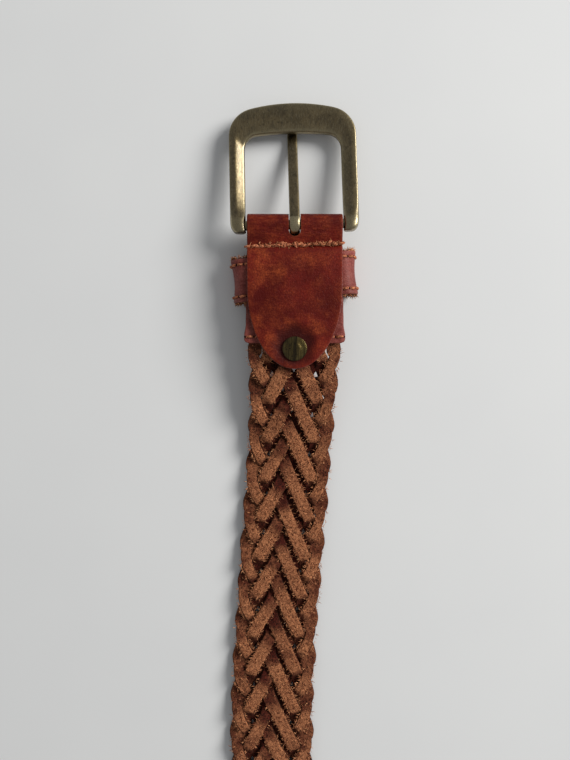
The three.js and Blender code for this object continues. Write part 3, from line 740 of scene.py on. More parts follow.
def make_prong():
    """Wraps round the bar from underneath, then runs down to the surface under the frame's far end."""
    radius = BAR_RADIUS + CLEARANCE + PRONG_THICKNESS / 2
    flat = PRONG_THICKNESS / 2
    bend_y = FRAME_INNER_END - 4
    drop = BAR_HEIGHT - flat
    slope = atan2(drop, bend_y) + asin(radius / hypot(bend_y, drop))
    leave = 90 - np.degrees(slope)
    angles = np.radians(np.linspace(leave + 266, leave, 40))
    eye = np.stack([radius * np.cos(angles), BAR_HEIGHT + radius * np.sin(angles)], 1)
    shank = [(bend_y, flat), (PRONG_LENGTH - 3, flat), (PRONG_LENGTH, flat - 0.1)]
    line = resample(np.vstack([eye, rounded(np.vstack([eye[-1:], shank]), 3)[1:]]), 0.7)
    run = unit(np.gradient(line, axis=0))
    turn = np.linspace(0, 2 * pi, 20, endpoint=False)
    square = 0.55
    cross_x = np.sign(np.cos(turn)) * np.abs(np.cos(turn)) ** square
    cross_z = np.sign(np.sin(turn)) * np.abs(np.sin(turn)) ** square
    rings, wear_and_highlight = [], []
    for i, ((y, z), (run_y, run_z)) in enumerate(zip(line, run)):
        to_tip = smooth_step((line[-1][0] - y) / 10) if z < 6 else 1.0
        half = PRONG_WIDTH / 2 * (0.62 + 0.38 * to_tip)
        thick = PRONG_THICKNESS / 2 * (0.8 + 0.2 * to_tip)
        if i in (0, len(line) - 1):
            half, thick = half * 0.8, thick * 0.75
        if y < -1:
            rounding = sqrt(1 - min((-y - 1) / 3.4, 0.8) ** 2)
            half *= rounding + (1 - rounding) * smooth_step((BAR_HEIGHT + 0.5 - z) / 2)
        x = cross_x * half
        rings.append(np.stack([x, y - run_z * cross_z * thick, z + run_y * cross_z * thick], 1))
        on_edge = (np.abs(cross_x) > 0.85) & (np.abs(cross_z) > 0.3)
        wear_and_highlight.append(0.35 * on_edge + (0.7 if y < BAR_RADIUS else 0.0))
    rings = np.array(rings)
    rings[..., 2] = np.maximum(rings[..., 2], 0.02)
    rings = turned_level(rings, BUCKLE_TURN)
    return loft("buckle_tongue", rings, {"wear_and_highlight": np.clip(np.array(wear_and_highlight).reshape(-1), 0, 1)})


def lathe(name, profile, segments=72):
    turn = np.linspace(0, 2 * pi, segments, endpoint=False)
    rings = [
        np.stack([r * np.cos(turn), r * np.sin(turn) - SCREW_OFFSET, np.full(segments, z)], 1) for r, z in profile
    ]
    return loft(name, rings)


def make_screw():
    """The slotted half, with a slightly domed head."""
    top = screw_high[2]
    seat = top - 1.2
    radius = SCREW_RADIUS
    profile = [(1.3, HEAD_LEVEL), (1.3, seat), (radius - 0.1, seat), (radius, seat + 0.15), (radius, top - 0.5)]
    profile += [(radius * cos(a), top - 0.5 + 0.35 * sin(a)) for a in np.radians([20, 40, 60])]
    profile += [(r * radius, top - 0.15 + 0.15 * (1 - r * r)) for r in (0.45, 0.3, 0.15, 0.02)]
    screw = lathe("screw_head", profile)
    half, reach = DRIVER_SLOT_WIDTH / 2, radius * 1.3
    corners = [(-half, -reach, 0), (half, -reach, 0), (half, reach, 0), (-half, reach, 0)]
    spun = turned_level(corners, DRIVER_SLOT_TURN)[:, :2] - (0, SCREW_OFFSET)
    cut_away(screw, prism(spun, top - DRIVER_SLOT_DEPTH, top + 3))
    shade_by_angle(screw, 35)
    return screw


# Thread and nap, set out by Geometry Nodes


def add_node(tree, kind, inputs=None, **settings):
    """A node with its settings. Each input is linked to a socket or takes a constant."""
    made = configured(tree.nodes.new(kind), **settings)
    for key, value in (inputs or {}).items():
        if isinstance(value, bpy.types.NodeSocket):
            tree.links.new(value, made.inputs[key])
        else:
            made.inputs[key].default_value = value
    return made


def scatter_tree(name, shape, material):
    """A node tree that sets a shape on each point, turned to the point's along and up directions."""
    tree = bpy.data.node_groups.new(name, "GeometryNodeTree")
    face = tree.interface
    face.new_socket("Points", in_out="INPUT", socket_type="NodeSocketGeometry")
    identifiers = {}
    for key, value in (("Size", 1.0), ("Wobble", 0.1), ("Size variation", 0.1)):
        socket = face.new_socket(key, in_out="INPUT", socket_type="NodeSocketFloat")
        socket.default_value = value
        identifiers[key] = socket.identifier
    face.new_socket("Pieces", in_out="OUTPUT", socket_type="NodeSocketGeometry")
    given = tree.nodes.new("NodeGroupInput").outputs

    def add(kind, inputs=None, **settings):
        return add_node(tree, kind, inputs, **settings)

    def direction(key):
        return add("GeometryNodeInputNamedAttribute", {"Name": key}, data_type="FLOAT_VECTOR").outputs["Attribute"]

    align = "FunctionNodeAlignRotationToVector"
    turned = add(align, {"Vector": direction("along")}, axis="X").outputs["Rotation"]
    turned = add(align, {"Rotation": turned, "Vector": direction("up")}, axis="Z", pivot_axis="X").outputs["Rotation"]
    low, high = (
        add("ShaderNodeVectorMath", {0: (sign,) * 3, "Scale": given["Wobble"]}, operation="SCALE").outputs["Vector"]
        for sign in (-1, 1)
    )
    spin = add("FunctionNodeRandomValue", {"Min": low, "Max": high, "Seed": 4}, data_type="FLOAT_VECTOR")
    spin = add("FunctionNodeEulerToRotation", {"Euler": spin.outputs["Value"]}).outputs["Rotation"]
    turned = add("FunctionNodeRotateRotation", {"Rotation": turned, "Rotate By": spin}, rotation_space="LOCAL")
    scale = add("FunctionNodeRandomValue", {"Seed": 11}, data_type="FLOAT")
    limits = [socket for socket in scale.inputs if socket.type == "VALUE"]
    for limit, operation in zip(limits, ("SUBTRACT", "ADD")):
        part = add("ShaderNodeMath", {0: 1.0, 1: given["Size variation"]}, operation=operation).outputs[0]
        part = add("ShaderNodeMath", {0: part, 1: given["Size"]}, operation="MULTIPLY").outputs[0]
        tree.links.new(part, limit)
    pieces = add("GeometryNodeInstanceOnPoints", {
        "Points": given["Points"],
        "Instance": add("GeometryNodeObjectInfo", {"Object": shape}).outputs["Geometry"],
        "Rotation": turned.outputs["Rotation"],
        "Scale": [socket for socket in scale.outputs if socket.type == "VALUE"][0],
    })
    whole = add("GeometryNodeRealizeInstances", {"Geometry": pieces.outputs["Instances"]}).outputs["Geometry"]
    painted = add("GeometryNodeSetMaterial", {"Geometry": whole, "Material": material})
    add("NodeGroupOutput", {"Pieces": painted.outputs["Geometry"]})
    return tree, identifiers


def scatter(name, tree_and_inputs, points, along, up, **values):
    """Points with directions, dressed by a scatter tree and made a plain mesh that keeps above the floor."""
    tree, inputs = tree_and_inputs
    holder = new_object(name, points, [], {"along": along, "up": up})
    modifier = configured(holder.modifiers.new("scatter", "NODES"), node_group=tree)
    for key, value in values.items():
        modifier[inputs[key.replace("_", " ")]] = value
    apply_modifiers(holder)
    vertices = holder.data.vertices
    spots = np.empty(len(vertices) * 3, np.float32)
    vertices.foreach_get("co", spots)
    spots[2::3] = np.maximum(spots[2::3], 0)
    vertices.foreach_set("co", spots)
    all_smooth(holder.data)
    return holder


def stitch_shape(length, thickness):
    """One stitch: a plump twist of thread whose ends dip into their holes."""
    rows, sides = 9, 6
    rings = []
    for i in range(rows):
        share = i / (rows - 1)
        radius = thickness / 2 * (0.3 + 0.7 * sin(pi * min(max(share, 0.02), 0.98)) ** 0.5)
        x = (share - 0.5) * length
        z = thickness * (0.7 * sin(pi * share) - 0.3)
        turn = np.linspace(0, 2 * pi, sides, endpoint=False) + share * 2.5
        lobes = radius * (1 + 0.2 * np.cos(2 * turn + share * 9))
        rings.append(np.stack([np.full(sides, x), lobes * np.cos(turn), z + lobes * np.sin(turn)], 1))
    return unlinked(loft("stitch_shape", np.array(rings) - BELT_ORIGIN))


def hole_shape(radius):
    """A dark disc where thread goes through: painted shade standing for the hole."""
    turn = np.linspace(0, 2 * pi, 8, endpoint=False)
    profile = ((radius, -0.1), (radius * 0.85, 0.09), (radius * 0.3, 0.05))
    rings = [np.stack([r * np.cos(turn), r * np.sin(turn), np.full(8, z)], 1) for r, z in profile]
    return unlinked(loft("hole_shape", np.array(rings) - BELT_ORIGIN))


def unlinked(shape):
    bpy.context.scene.collection.objects.unlink(shape)
    return shape


def fibre_shape(length, thickness):
    """One curled hair of nap, three-sided and drawn to a point. It stands along Z."""
    turn = np.radians([0, 120, 240])
    points = []
    for share, radius in ((0, thickness / 2), (0.5, 0.4 * thickness)):
        bend = 0.45 * length * share**2
        height = length * (share * 0.9 - 0.08)
        points += [(bend + radius * cos(a), radius * sin(a), height) for a in turn]
    points.append((0.45 * length, 0, length * 0.82))
    faces = [(0, 2, 1), (0, 1, 4, 3), (1, 2, 5, 4), (2, 0, 3, 5), (3, 4, 6), (4, 5, 6), (5, 3, 6)]
    shape = new_object("fibre_shape", np.array(points) - BELT_ORIGIN, faces)
    return unlinked(shape)


def seam(name, lines, slot, spacing=3.7):
    """Stitches and their holes along polylines with outward directions."""
    stitches, holes = [], []
    for line, up in lines:
        both = resample(np.hstack([line, up]), spacing)
        middle = (both[1:] + both[:-1]) / 2
        stitches.append((middle[:, :3], both[1:, :3] - both[:-1, :3], middle[:, 3:]))
        holes.append((both[:, :3], np.gradient(both[:, :3], axis=0), both[:, 3:]))
    rows = [np.vstack(parts) for parts in zip(*stitches)]
    pits = [np.vstack(parts) for parts in zip(*holes)]
    dress(scatter(name, stitching, *rows, Wobble=0.09, Size_variation=0.07), None, slot)
    dress(scatter(name + "_holes", thread_holes, *pits, Wobble=0.0, Size_variation=0.15), None, slot)


def keeper_lines(inset=KEEPER_SEAM):
    """Seam lines along both edges of the keeper."""
    path, up = keeper_path(0.5)
    path = np.vstack([path, path[:1]])
    up = np.vstack([up, up[:1]])
    found = []
    for side in (-1, 1):
        share = 1 - inset / (KEEPER_BAND / 2)
        drawn_in = (1 - share**2) ** 1.3 * smooth_step(np.abs(up[:, :1]) * 1.2)
        line = path + up * (KEEPER_WALL / 2 - CHANNEL_DEPTH / 2 - drawn_in) + (0, side * (KEEPER_BAND / 2 - inset), 0)
        found.append((turn_keeper(line), turn_keeper(up, vectors=True)))
    return found


def facing_lines(inset=2.8):
    """Seam lines above the facings' hems, outside the tongues."""
    found = []
    for side in (-1, 1):
        z = HEAD_LEVEL + side * (FACING_SPREAD + FACING_THICKNESS / 2)
        half, low = FACING_WIDTH / 2 - 0.5, -FACING_END + inset
        for flank in (-1, 1):
            line = resample(np.array([(flank * half, low, z), (flank * (half - 11), low, z)]), 0.5)
            found.append((line, np.tile((0, 0, side), (len(line), 1))))
    return found


def tip_lines(inset=TIP_SEAM):
    """Seam lines round the tip, on both of its faces."""
    start, end = tip_high[1], tip_low[1]
    found = []
    for side in (1, -1):
        from_end = inset + (start - end - 2 * inset) * np.linspace(0, 1, 60)
        half = np.array([max(tongue_half(f - inset * 0.6, TIP_WIDTH, TIP_TAPER) - inset, 0) for f in from_end])
        flank = np.stack([half, end + from_end], 1)
        outline = np.vstack([flank[::-1], flank * (-1, 1), flank[-1:]])
        over, closed = tip_back_high[2], 2 * TIP_THICKNESS + CLEARANCE
        height = closed + (over - closed) * smooth_step((outline[:, 1] - (start - 24)) / 9)
        height = np.maximum((height - CHANNEL_DEPTH / 2) * (side > 0), 0.25)
        line = resample(np.column_stack([outline[:, 0] + DRIFT, outline[:, 1], height]), 0.6)
        found.append((line, np.tile((0, 0, side), (len(line), 1))))
    return found


def fold_row(x, above):
    """Points on the slanting row of thread over the fold, that far above the leather."""
    return np.stack([x, SEAM_SLANT * x - SEAM_OFFSET, np.full(len(x), SEAM_TOP + above)], 1)


def fold_seam(count=15, loose=9):
    """The coarse, ravelled row of thread that closes the fold."""
    half = CHAPE_WIDTH / 2 - 0.6
    points = fold_row(np.linspace(-half, half, count), 0.25)
    points[:, 1] += rng.normal(0, 0.18, count)
    along = np.stack([np.ones(count), rng.normal(SEAM_SLANT, 0.22, count), rng.normal(0, 0.05, count)], 1)
    extra = fold_row(rng.uniform(-half, half, loose), 0.6)
    extra[:, 1] += rng.normal(0, 0.5, loose)
    extra_along = np.stack([rng.normal(0, 1, loose), rng.normal(0, 1, loose), rng.normal(0, 0.1, loose)], 1)
    up = np.tile((0, 0, 1.0), (count + loose, 1))
    return np.vstack([points, extra]), np.vstack([along, extra_along]), up


def fold_holes(count=15):
    """Needle holes on either side of the fold seam's thread."""
    half = CHAPE_WIDTH / 2 - 1
    points = fold_row(np.linspace(-half, half, count), 0.1)
    points[:, 1] += np.where(np.arange(count) % 2, 0.75, -0.75)
    return points, np.tile((1.0, 0, 0), (count, 1)), np.tile((0, 0, 1.0), (count, 1))


def tangled(roots, lean):
    """Roots with normalised leaning directions and random directions across them."""
    lean = unit(lean)
    along = rng.normal(0, 1, lean.shape)
    along -= lean * (along * lean).sum(1)[:, None]
    return roots, along, lean


def fold_fuzz(count=320):
    """Loose hairs on the thread of the fold seam."""
    roots = fold_row(rng.uniform(-CHAPE_WIDTH / 2, CHAPE_WIDTH / 2, count), 0.7)
    roots[:, 1] += rng.normal(0, 0.45, count)
    lean = rng.normal(0, 1, (count, 3)) + (0, 0, 0.8)
    lean[:, 2] = np.abs(lean[:, 2])
    return tangled(roots, lean)


def keeper_fuzz(count=1500):
    """The frayed flesh side that shows along the keeper's edges."""
    path, up = keeper_path(0.5)
    pick = rng.integers(0, len(path), count)
    side = np.where(rng.random(count) < 0.65, 1.0, -1.0)
    roots = path[pick] - up[pick] * (KEEPER_WALL * rng.uniform(0.0, 0.5, count))[:, None]
    roots[:, 1] += side * (KEEPER_BAND / 2 - 0.15)
    lean = up[pick] * rng.normal(0.1, 0.4, count)[:, None] + rng.normal(0, 0.35, (count, 3))
    lean[:, 1] += side * 1.1
    return tangled(turn_keeper(roots), turn_keeper(lean, vectors=True))


def nap_places(per_strand, furthest, seed):
    """Roots and directions of loose fibres on the rubbed faces and edges of the strands, up to a step."""
    draw = np.random.default_rng(seed)
    roots, leans = [], []
    for number in range(STRAND_COUNT):
        steps = strand_steps(number)
        chosen = np.sort(draw.uniform(furthest[0], furthest[1], per_strand))
        line, run, level, thickness = strand_line(number, steps)
        wear_and_shade = strand_wear_and_shade(number, steps, level)
        index = np.searchsorted(steps, chosen).clip(0, len(steps) - 1)
        index = index[draw.random(per_strand) < np.clip(wear_and_shade[index], 0.02, 1) ** 1.5]
        side = unit(np.stack([-run[index, 1], run[index, 0], np.zeros(len(index))], 1))
        at = draw.choice([-1, 1], len(index)) * np.where(
            draw.random(len(index)) < 0.6, draw.uniform(0.9, 1.02, len(index)), draw.uniform(0, 0.9, len(index))
        )
        edge = np.clip((np.abs(at) - 0.8) / 0.15, 0, 1)
        rise = np.sqrt(1 - 0.6 * edge**2) * thickness[index] / 2
        roots.append(line[index] + side * (at * TOP_WIDTH / 2)[:, None] + np.outer(rise, (0, 0, 1)))
        lean = draw.normal(0, 1, (len(index), 3)) + side * (np.sign(at) * edge * 1.1)[:, None]
        lean[:, 2] = np.abs(lean[:, 2]) * 0.2 + 0.1
        leans.append(lean)
    return tangled(np.vstack(roots), np.vstack(leans))


# Materials


class Paint:
    """A material whose nodes are added by short calls. Their inputs are sockets or constants."""

    def __init__(self, name, **constants):
        self.material = bpy.data.materials.new(name)
        self.material.use_nodes = True
        self.tree = self.material.node_tree
        self.shader = self.tree.nodes["Principled BSDF"]
        for key, value in constants.items():
            self.shader.inputs[key.replace("_", " ")].default_value = value
        self.place = self.node("ShaderNodeTexCoord").outputs["Object"]

    def node(self, kind, inputs=None, **settings):
        return add_node(self.tree, kind, inputs, **settings)

    def attribute(self, key):
        return self.node("ShaderNodeAttribute", attribute_name=key).outputs["Fac"]

    def coordinate(self, axis):
        return self.node("ShaderNodeSeparateXYZ", {0: self.place}).outputs[axis]

    def noise(self, size_mm, detail=3.0, roughness=0.6, stretch=(1, 1, 1), distortion=0.0, seed=0):
        """Noise with features of that size, stretched by three factors."""
        spot = {"Vector": self.place, "Scale": stretch, "Location": (seed * 0.7, seed * 0.3, seed * 0.5)}
        inputs = {"Vector": self.node("ShaderNodeMapping", spot).outputs["Vector"], "Scale": 1 / (size_mm * MM),
                  "Detail": detail, "Roughness": roughness, "Distortion": distortion}
        return self.node("ShaderNodeTexNoise", inputs).outputs["Fac"]

    def ridges(self, value, width):
        """1 along the middle values of a noise, falling to 0 beside them: curled lines."""
        off = self.math("ABSOLUTE", self.math("SUBTRACT", value, 0.5), 0.0)
        return self.curve(off, 0.0, width, 1, 0)

    def distance(self, x, y):
        """Level distance in metres from a place on the belt."""
        flat = self.node("ShaderNodeVectorMath", {0: self.place, 1: (1, 1, 0)}, operation="MULTIPLY").outputs[0]
        spot = tuple(place((x, y, 0)))
        return self.node("ShaderNodeVectorMath", {0: flat, 1: spot}, operation="DISTANCE").outputs["Value"]

    def cells(self, size_mm, warp_mm=0.0):
        """Distance to the edges of irregular cells, which a noise can pull out of shape."""
        spot = self.place
        if warp_mm:
            wave = self.node("ShaderNodeTexNoise", {"Vector": spot, "Scale": 1 / (1.1 * size_mm * MM), "Detail": 1.0})
            pull = {0: wave.outputs["Color"], 1: (2 * warp_mm * MM,) * 3, 2: spot}
            spot = self.node("ShaderNodeVectorMath", pull, operation="MULTIPLY_ADD").outputs[0]
        inputs = {"Vector": spot, "Scale": 1 / (size_mm * MM)}
        return self.node("ShaderNodeTexVoronoi", inputs, feature="DISTANCE_TO_EDGE").outputs["Distance"]

    def curve(self, value, low, high, to_low=0.0, to_high=1.0):
        inputs = {"Value": value, "From Min": low, "From Max": high, "To Min": to_low, "To Max": to_high}
        return self.node("ShaderNodeMapRange", inputs, interpolation_type="SMOOTHSTEP").outputs["Result"]

    def math(self, operation, a, b):
        return self.node("ShaderNodeMath", {0: a, 1: b}, operation=operation).outputs[0]

    def times(self, a, b):
        return self.math("MULTIPLY", a, b)

    def total(self, first, *others):
        """A value plus others, each given with what it is multiplied by."""
        for value, share in others:
            first = self.math("ADD", first, self.times(value, share))
        return first

    def mix(self, factor, a, b):
        return self.node("ShaderNodeMix", {"Factor": factor, 6: a, 7: b}, data_type="RGBA").outputs[2]

    def tint(self, base, color, value, low, high, to_low, to_high):
        """The base, mixed with a colour by a curve of a value."""
        return self.mix(self.curve(value, low, high, to_low, to_high), base, color)

    def bump(self, height, distance_mm, strength=1.0, **under):
        inputs = {"Height": height, "Distance": distance_mm * MM, "Strength": strength, **under}
        return self.node("ShaderNodeBump", inputs).outputs["Normal"]

    def finish(self, color, roughness=None, normal=None):
        for key, value in (("Base Color", color), ("Roughness", roughness), ("Normal", normal)):
            if value is not None:
                self.tree.links.new(value, self.shader.inputs[key])
        return self.material


def rgb(*channels):
    """A colour as it reads on screen, 0 to 255, made linear."""
    return tuple(((v / 255 + 0.055) / 1.055) ** 2.4 if v > 10 else v / 255 / 12.92 for v in channels) + (1,)


def darker(color, share):
    return tuple(share * v for v in color[:3]) + (1,)


def suede_paint():
    """Flesh side of the thongs: curled tan fibres over a red-brown ground, painted shade in maroon where it lies low,
    dark sides.
    """
    p = Paint("suede_thong", Roughness=0.95, Sheen_Weight=0.15, Sheen_Roughness=0.5, Specular_IOR_Level=0.15,
              Sheen_Tint=rgb(200, 140, 96))
    nap, wear_and_shade, relief, grain = (p.attribute(key) for key in ("nap", "wear_and_shade", "relief", "grain"))
    curls = p.ridges(p.noise(1.5, 1.0, 0.5, distortion=1.8), 0.05)
    small_curls = p.ridges(p.noise(1.0, 1.0, 0.5, distortion=1.2, seed=3), 0.055)
    nubs = p.curve(p.cells(1.35, warp_mm=1.5), 0.0, 0.26, 1, 0)
    patches, grit = p.noise(7, 3, 0.6), p.noise(0.5, 2, 0.8)
    fibre = p.math("MAXIMUM", curls, p.times(small_curls, 0.8))
    fibre = p.math("MAXIMUM", fibre, p.times(nubs, 0.6))
    raised = p.total(p.times(fibre, 0.85), (p.curve(grit, 0.35, 0.7), 0.35), (p.curve(relief, -0.08, 0.12), 0.15))
    worn_face = p.mix(p.curve(raised, 0.1, 1.35), rgb(70, 22, 12), rgb(224, 150, 104))
    # Painted shade: maroon to near black where a strand comes out from under another.
    painted_shade_face = p.mix(p.curve(raised, 0.2, 1.3), rgb(22, 7, 6), rgb(102, 38, 28))
    lift = p.total(p.times(wear_and_shade, 0.85), (p.curve(patches, 0.3, 0.7), 0.4))
    face = p.mix(p.curve(lift, 0.15, 1.1), painted_shade_face, worn_face)
    patchy = p.curve(patches, 0.35, 0.7)
    # The sides are painted near black: partly their own darker colour, partly painted shade between the strands.
    skin = p.mix(patchy, rgb(24, 8, 6), rgb(58, 21, 15))
    skin = p.mix(grain, skin, p.mix(patchy, rgb(92, 30, 18), rgb(138, 60, 36)))
    color = p.mix(p.curve(p.total(nap, (grit, 0.3)), 0.5, 0.9), skin, face)
    return p.finish(color, p.curve(nap, 0, 0.8, 0.6, 0.97), p.bump(p.total(fibre, (grit, 0.4)), 0.5, 0.7))


def fibre_paint():
    p = Paint("loose_fibre", Roughness=0.9, Specular_IOR_Level=0.15)
    return p.finish(p.mix(p.curve(p.noise(1.1, 2), 0.35, 0.65), rgb(122, 62, 38), rgb(228, 162, 116)))


def hole_shade_paint():
    # Painted shade: the dark colour stands for the shade inside a stitch hole.
    p = Paint("thread_hole", Roughness=0.95, Specular_IOR_Level=0.1)
    return p.finish(p.mix(p.noise(0.4, 1), rgb(20, 8, 7), rgb(44, 18, 14)))


def smooth_leather_paint(name, dark, middle, bright, rim_color, shine=0.46, rubs=(), round_screw=True):
    """Grain-side leather: mottled dye, fine pores and creases, a cut edge, rubbed high spots.

    rubs are (x, y, reach, amount) in millimetres. round_screw adds a ring of painted shade round the screw and the
    wrinkles over the fold, with painted highlights along them.
    """
    p = Paint(name, Specular_IOR_Level=0.15)
    rim, grain = p.attribute("rim"), p.attribute("grain")
    clouds, blots, pores = p.noise(17, 4, 0.6), p.noise(5, 4, 0.65), p.noise(0.9, 3, 0.7)
    streaks = p.noise(1.3, 3, 0.7, stretch=(0.35, 1.3, 1))
    cells = p.curve(p.cells(1.0), 0.02, 0.22)
    base = p.mix(p.curve(clouds, 0.32, 0.68), dark, middle)
    rub = p.total(p.times(blots, 0.75), (streaks, 0.3))
    for x, y, reach, amount in rubs:
        rub = p.total(rub, (p.curve(p.distance(x, y), 0, reach * MM, amount, 0), blots))
    base = p.tint(base, bright, p.total(rub, (pores, 0.25)), 0.55, 1.1, 0, 0.8)
    base = p.tint(base, dark, pores, 0.32, 0.55, 0.5, 0)
    base = p.tint(base, dark, cells, 0, 1, 0.35, 0)
    edge = p.curve(p.total(rim, (blots, -2.2)), -1.0, 0.8, 1, 0)
    base = p.mix(p.times(edge, 0.12), base, bright)
    cut = p.times(p.curve(rim, 0.05, 0.4, 1, 0), 0.8)
    base = p.mix(cut, base, p.mix(p.curve(pores, 0.35, 0.65), rim_color, dark))
    if round_screw:
        # Painted shade: a dark ring round the screw, where the leather dips.
        around = p.distance(0, -SCREW_OFFSET + 1.6)
        base = p.tint(base, darker(dark, 0.45), p.total(around, (blots, 6 * MM)), 8.5 * MM, 14.5 * MM, 0.92, 0)
    base = p.mix(grain, p.mix(pores, rgb(96, 48, 30), rgb(140, 84, 56)), base)
    normal = p.bump(p.total(blots, (streaks, 1)), 0.45, 0.45)
    normal = p.bump(p.total(p.times(cells, 0.35), (pores, 0.6)), 0.14, 0.7, Normal=normal)
    if round_screw:
        fold_line = (BELT_ORIGIN[1] - SEAM_OFFSET + 1.5) * MM
        on_fold = p.curve(p.coordinate("Y"), fold_line, fold_line + 3 * MM)
        wrinkles = p.noise(1.1, 3, 0.65, stretch=(0.25, 1.2, 1.2), seed=5)
        normal = p.bump(p.times(wrinkles, on_fold), 0.5, 0.7, Normal=normal)
        # Painted highlight: lighter lines along the fold's wrinkles.
        lines = p.times(p.curve(wrinkles, 0.5, 0.72), on_fold)
        base = p.mix(p.times(lines, 0.25), base, bright)
        normal = p.bump(p.curve(around, 5 * MM, 10.5 * MM), 1.2, 0.5, Normal=normal)
    gloss = p.curve(p.total(p.times(clouds, 0.5), (pores, 0.5)), 0.3, 0.7, shine - 0.08, shine + 0.2)
    return p.finish(base, gloss, normal)


def thread_paint():
    p = Paint("waxed_thread", Roughness=0.75, Specular_IOR_Level=0.25)
    twist = p.noise(0.6, 2, 0.6, stretch=(1, 2, 1))
    color = p.mix(p.curve(twist, 0.35, 0.65), rgb(88, 38, 24), rgb(212, 132, 92))
    return p.finish(color, None, p.bump(twist, 0.2, 0.8))


def brass_paint(name, dark, middle, bright, streak, lacquer=0.9, shaded_below=None):
    """Aged brass: even olive patina with fine pits and hair scratches, rubbed bright along its rims, and a painted
    highlight along the frame's top rim.

    Below the given height it is painted darker: painted shade inside the screw's slot.
    """
    p = Paint(name, Metallic=1.0, Coat_Weight=lacquer, Coat_Roughness=0.2)
    clouds, pits, specks = p.noise(11, 4, 0.6), p.noise(1.3, 3, 0.75), p.noise(0.45, 2, 0.7)
    hairs = p.noise(0.8, 3, 0.75, stretch=streak)
    base = p.mix(p.curve(clouds, 0.3, 0.7), dark, middle)
    base = p.tint(base, bright, hairs, 0.45, 0.75, 0, 0.35)
    base = p.tint(base, darker(dark, 0.35), pits, 0.3, 0.46, 0.8, 0)
    tarnish = p.curve(p.noise(2.4, 4, 0.75, stretch=(1.7, 0.6, 1), seed=2), 0.5, 0.64)
    base = p.mix(p.times(tarnish, 0.5), base, darker(dark, 0.4))
    # Light where rubbed by wear, and where the frame's top bar has its painted highlight line.
    base = p.mix(p.times(p.attribute("wear_and_highlight"), p.curve(specks, 0.3, 0.6, 0.45, 1.0)), base, bright)
    # Painted shade inside the screw's slot, below the given height.
    if shaded_below is not None:
        base = p.tint(base, rgb(34, 27, 16), p.coordinate("Z"), (shaded_below - 0.08) * MM, (shaded_below + 0.08) * MM, 0.5, 0)
    gloss = p.curve(p.total(p.times(pits, 0.6), (hairs, 0.4)), 0.3, 0.7, 0.42, 0.27)
    height = p.total(p.times(pits, 0.5), (specks, 0.35))
    return p.finish(base, gloss, p.bump(height, 0.2, 0.6, Normal=p.bump(clouds, 0.5, 0.25)))


def floor_paint():
    p = Paint("pale_floor", Roughness=0.75, Specular_IOR_Level=0.25)
    tone = p.mix(p.noise(60, 2, 0.5), rgb(224, 225, 226), rgb(229, 230, 230))
    return p.finish(tone, None, p.bump(p.noise(6, 3), 0.06, 0.15))


# Scene


def make_camera():
    """Looks down from above the braid's head, as the picture does."""
    focal_px, frame_height_px, sensor = 575.0, 760.0, 36.0
    data = bpy.data.cameras.new("camera")
    configured(data, sensor_width=sensor, lens=focal_px / frame_height_px * sensor, clip_start=0.01, clip_end=20)
    camera = into_scene(bpy.data.objects.new("camera", data))
    camera.location = place((-4.1, -48.5, 258.6))
    camera.rotation_euler = (radians(-4), 0, 0)
    bpy.context.scene.camera = camera


def make_light():
    """One broad, soft window light at the upper right."""
    data = bpy.data.lights.new("window", "AREA")
    configured(data, shape="DISK", size=1.1, energy=46, color=(1.0, 0.985, 0.955))
    lamp = into_scene(bpy.data.objects.new("window", data))
    away = Vector((1.5, 0.7, 1.05)).normalized()
    lamp.location = Vector(place((0, -60, 0))) + away * 2.0
    lamp.rotation_euler = away.to_track_quat("Z", "Y").to_euler()


def make_surroundings():
    """A pale floor just under the belt, and a pale surrounding light."""
    half, level = 3.0, -0.05 * MM
    corners = [(-half, -half, level), (half, -half, level), (half, half, level), (-half, half, level)]
    mesh = bpy.data.meshes.new("floor")
    mesh.from_pydata(corners, [], [(0, 1, 2, 3)])
    mesh.materials.append(floor_paint())
    into_scene(bpy.data.objects.new("floor", mesh))
    world = bpy.data.worlds.new("studio")
    world.use_nodes = True
    backdrop = world.node_tree.nodes["Background"]
    backdrop.inputs["Color"].default_value = (0.97, 0.985, 1.0, 1)
    backdrop.inputs["Strength"].default_value = 0.29
    bpy.context.scene.world = world
    bpy.context.scene.view_settings.view_transform = "Standard"


make_camera()
make_surroundings()
make_light()

CHAPE_RUBS = ((-12, -17, 15, 0.35), (-15, -42, 8, 0.35), (-11, -49, 6, 0.45), (9, -44, 6, 0.5), (-1, -42, 5, 0.4),
              (6, -14, 10, 0.2))
chape_paint = smooth_leather_paint("chape_leather", rgb(76, 11, 6), rgb(116, 27, 15), rgb(164, 74, 36),
                                   rgb(142, 96, 92), rubs=CHAPE_RUBS)
liner_paint = smooth_leather_paint("liner_leather", rgb(94, 38, 33), rgb(140, 68, 61), rgb(184, 116, 104),
                                   rgb(120, 66, 52), shine=0.36, round_screw=False)
suede = suede_paint()
thread = thread_paint()
frame_brass = brass_paint("aged_brass", rgb(90, 77, 50), rgb(119, 103, 70), rgb(190, 177, 140), streak=(2.5, 0.5, 1))
screw_brass = brass_paint("screw_brass", rgb(58, 47, 20), rgb(92, 76, 38), rgb(190, 168, 104), streak=(2.4, 0.1, 1),
                          shaded_below=screw_high[2] - 0.42, lacquer=0.4)


def dress(piece, material, slot, *nodes, body="strap"):
    """Gives a piece its finish, its body and the CAD nodes that it stands for. Its slot is not used."""
    if material is not None:
        piece.data.materials.clear()
        piece.data.materials.append(material)
    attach(piece, body)
    if nodes:
        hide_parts(*nodes)


for k in range(STRAND_COUNT):
    dress(make_strand(k), suede, "split_leather", f"strand_{k + 1}")

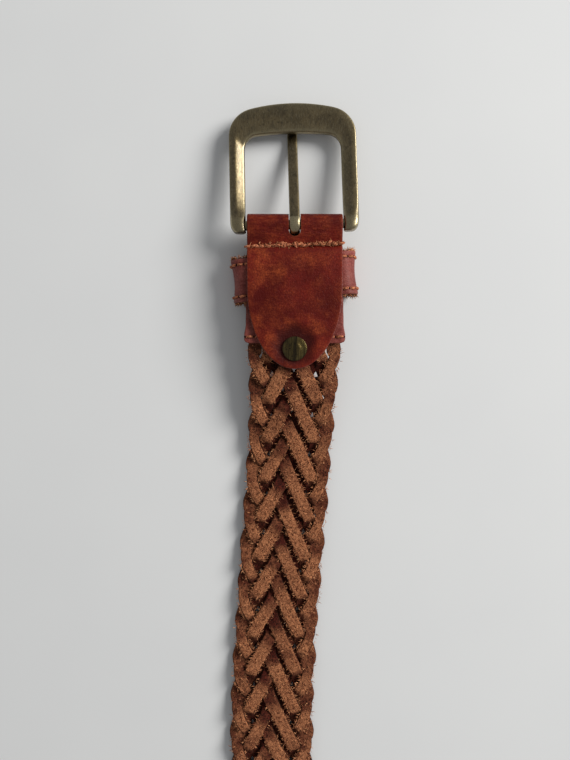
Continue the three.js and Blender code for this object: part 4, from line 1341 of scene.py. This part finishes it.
dress(make_chape(), chape_paint, "chape_leather", "chape")
front_mid = FRONT_LEVEL + CHAPE_THICKNESS / 2 + CLEARANCE + FACING_THICKNESS / 2
back_mid = front_mid + FACING_THICKNESS + CLEARANCE
dress(make_facing("front_liner", front_mid, -1), liner_paint, "facing_leather", "front_facing")
dress(make_facing("back_liner", back_mid, 1), liner_paint, "facing_leather", "back_facing")
dress(make_keeper(), liner_paint, "facing_leather", "keeper")
dress(make_tip("tip_front_leather", False), chape_paint, "chape_leather", "tip_front")
dress(make_tip("tip_back_leather", True), chape_paint, "chape_leather", "tip_back")
dress(make_buckle_frame(), frame_brass, "buckle_brass", "buckle_frame", body="buckle")
dress(make_prong(), frame_brass, "buckle_brass", "prong", body="prong")
dress(make_screw(), screw_brass, "screw_brass", "screw")

for node, material in (("heel_bar", frame_brass), ("screw_post", screw_brass)):
    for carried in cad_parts[node].material_slots:
        carried.material = material

stitching = scatter_tree("stitch_row", stitch_shape(3.6, 1.25), thread)
thread_holes = scatter_tree("thread_holes", hole_shape(0.5), hole_shade_paint())
coarse_stitching = scatter_tree("coarse_stitch_row", stitch_shape(3.3, 1.25), thread)
nap = scatter_tree("nap_fibres", fibre_shape(1.6, 0.25), fibre_paint())

seam("keeper_stitches", keeper_lines(), "facing_leather")
seam("liner_stitches", facing_lines(), "facing_leather")
seam("tip_stitches", tip_lines(), "chape_leather")
for name, tree, places, slot, values in (
    ("fold_stitches", coarse_stitching, fold_seam(), "chape_leather", {"Wobble": 0.3, "Size variation": 0.18}),
    ("fold_pits", thread_holes, fold_holes(), "chape_leather", {"Wobble": 0.1, "Size variation": 0.3}),
    ("fold_fluff", nap, fold_fuzz(), "chape_leather", {"Wobble": 0.6, "Size variation": 0.4}),
    ("keeper_fluff", nap, keeper_fuzz(), "facing_leather", {"Size": 1.15, "Wobble": 0.5, "Size variation": 0.4}),
):
    dress(scatter(name, tree, *places, **values), None, slot)
for name, count, stretch in (("nap_near", 1200, (-1, 13)), ("nap_middle", 1200, (13, 27)), ("nap_far", 2000, (27, 96))):
    fluff = scatter(name, nap, *nap_places(count, stretch, count + stretch[1]), Wobble=0.3, Size_variation=0.45)
    dress(fluff, None, "split_leather")
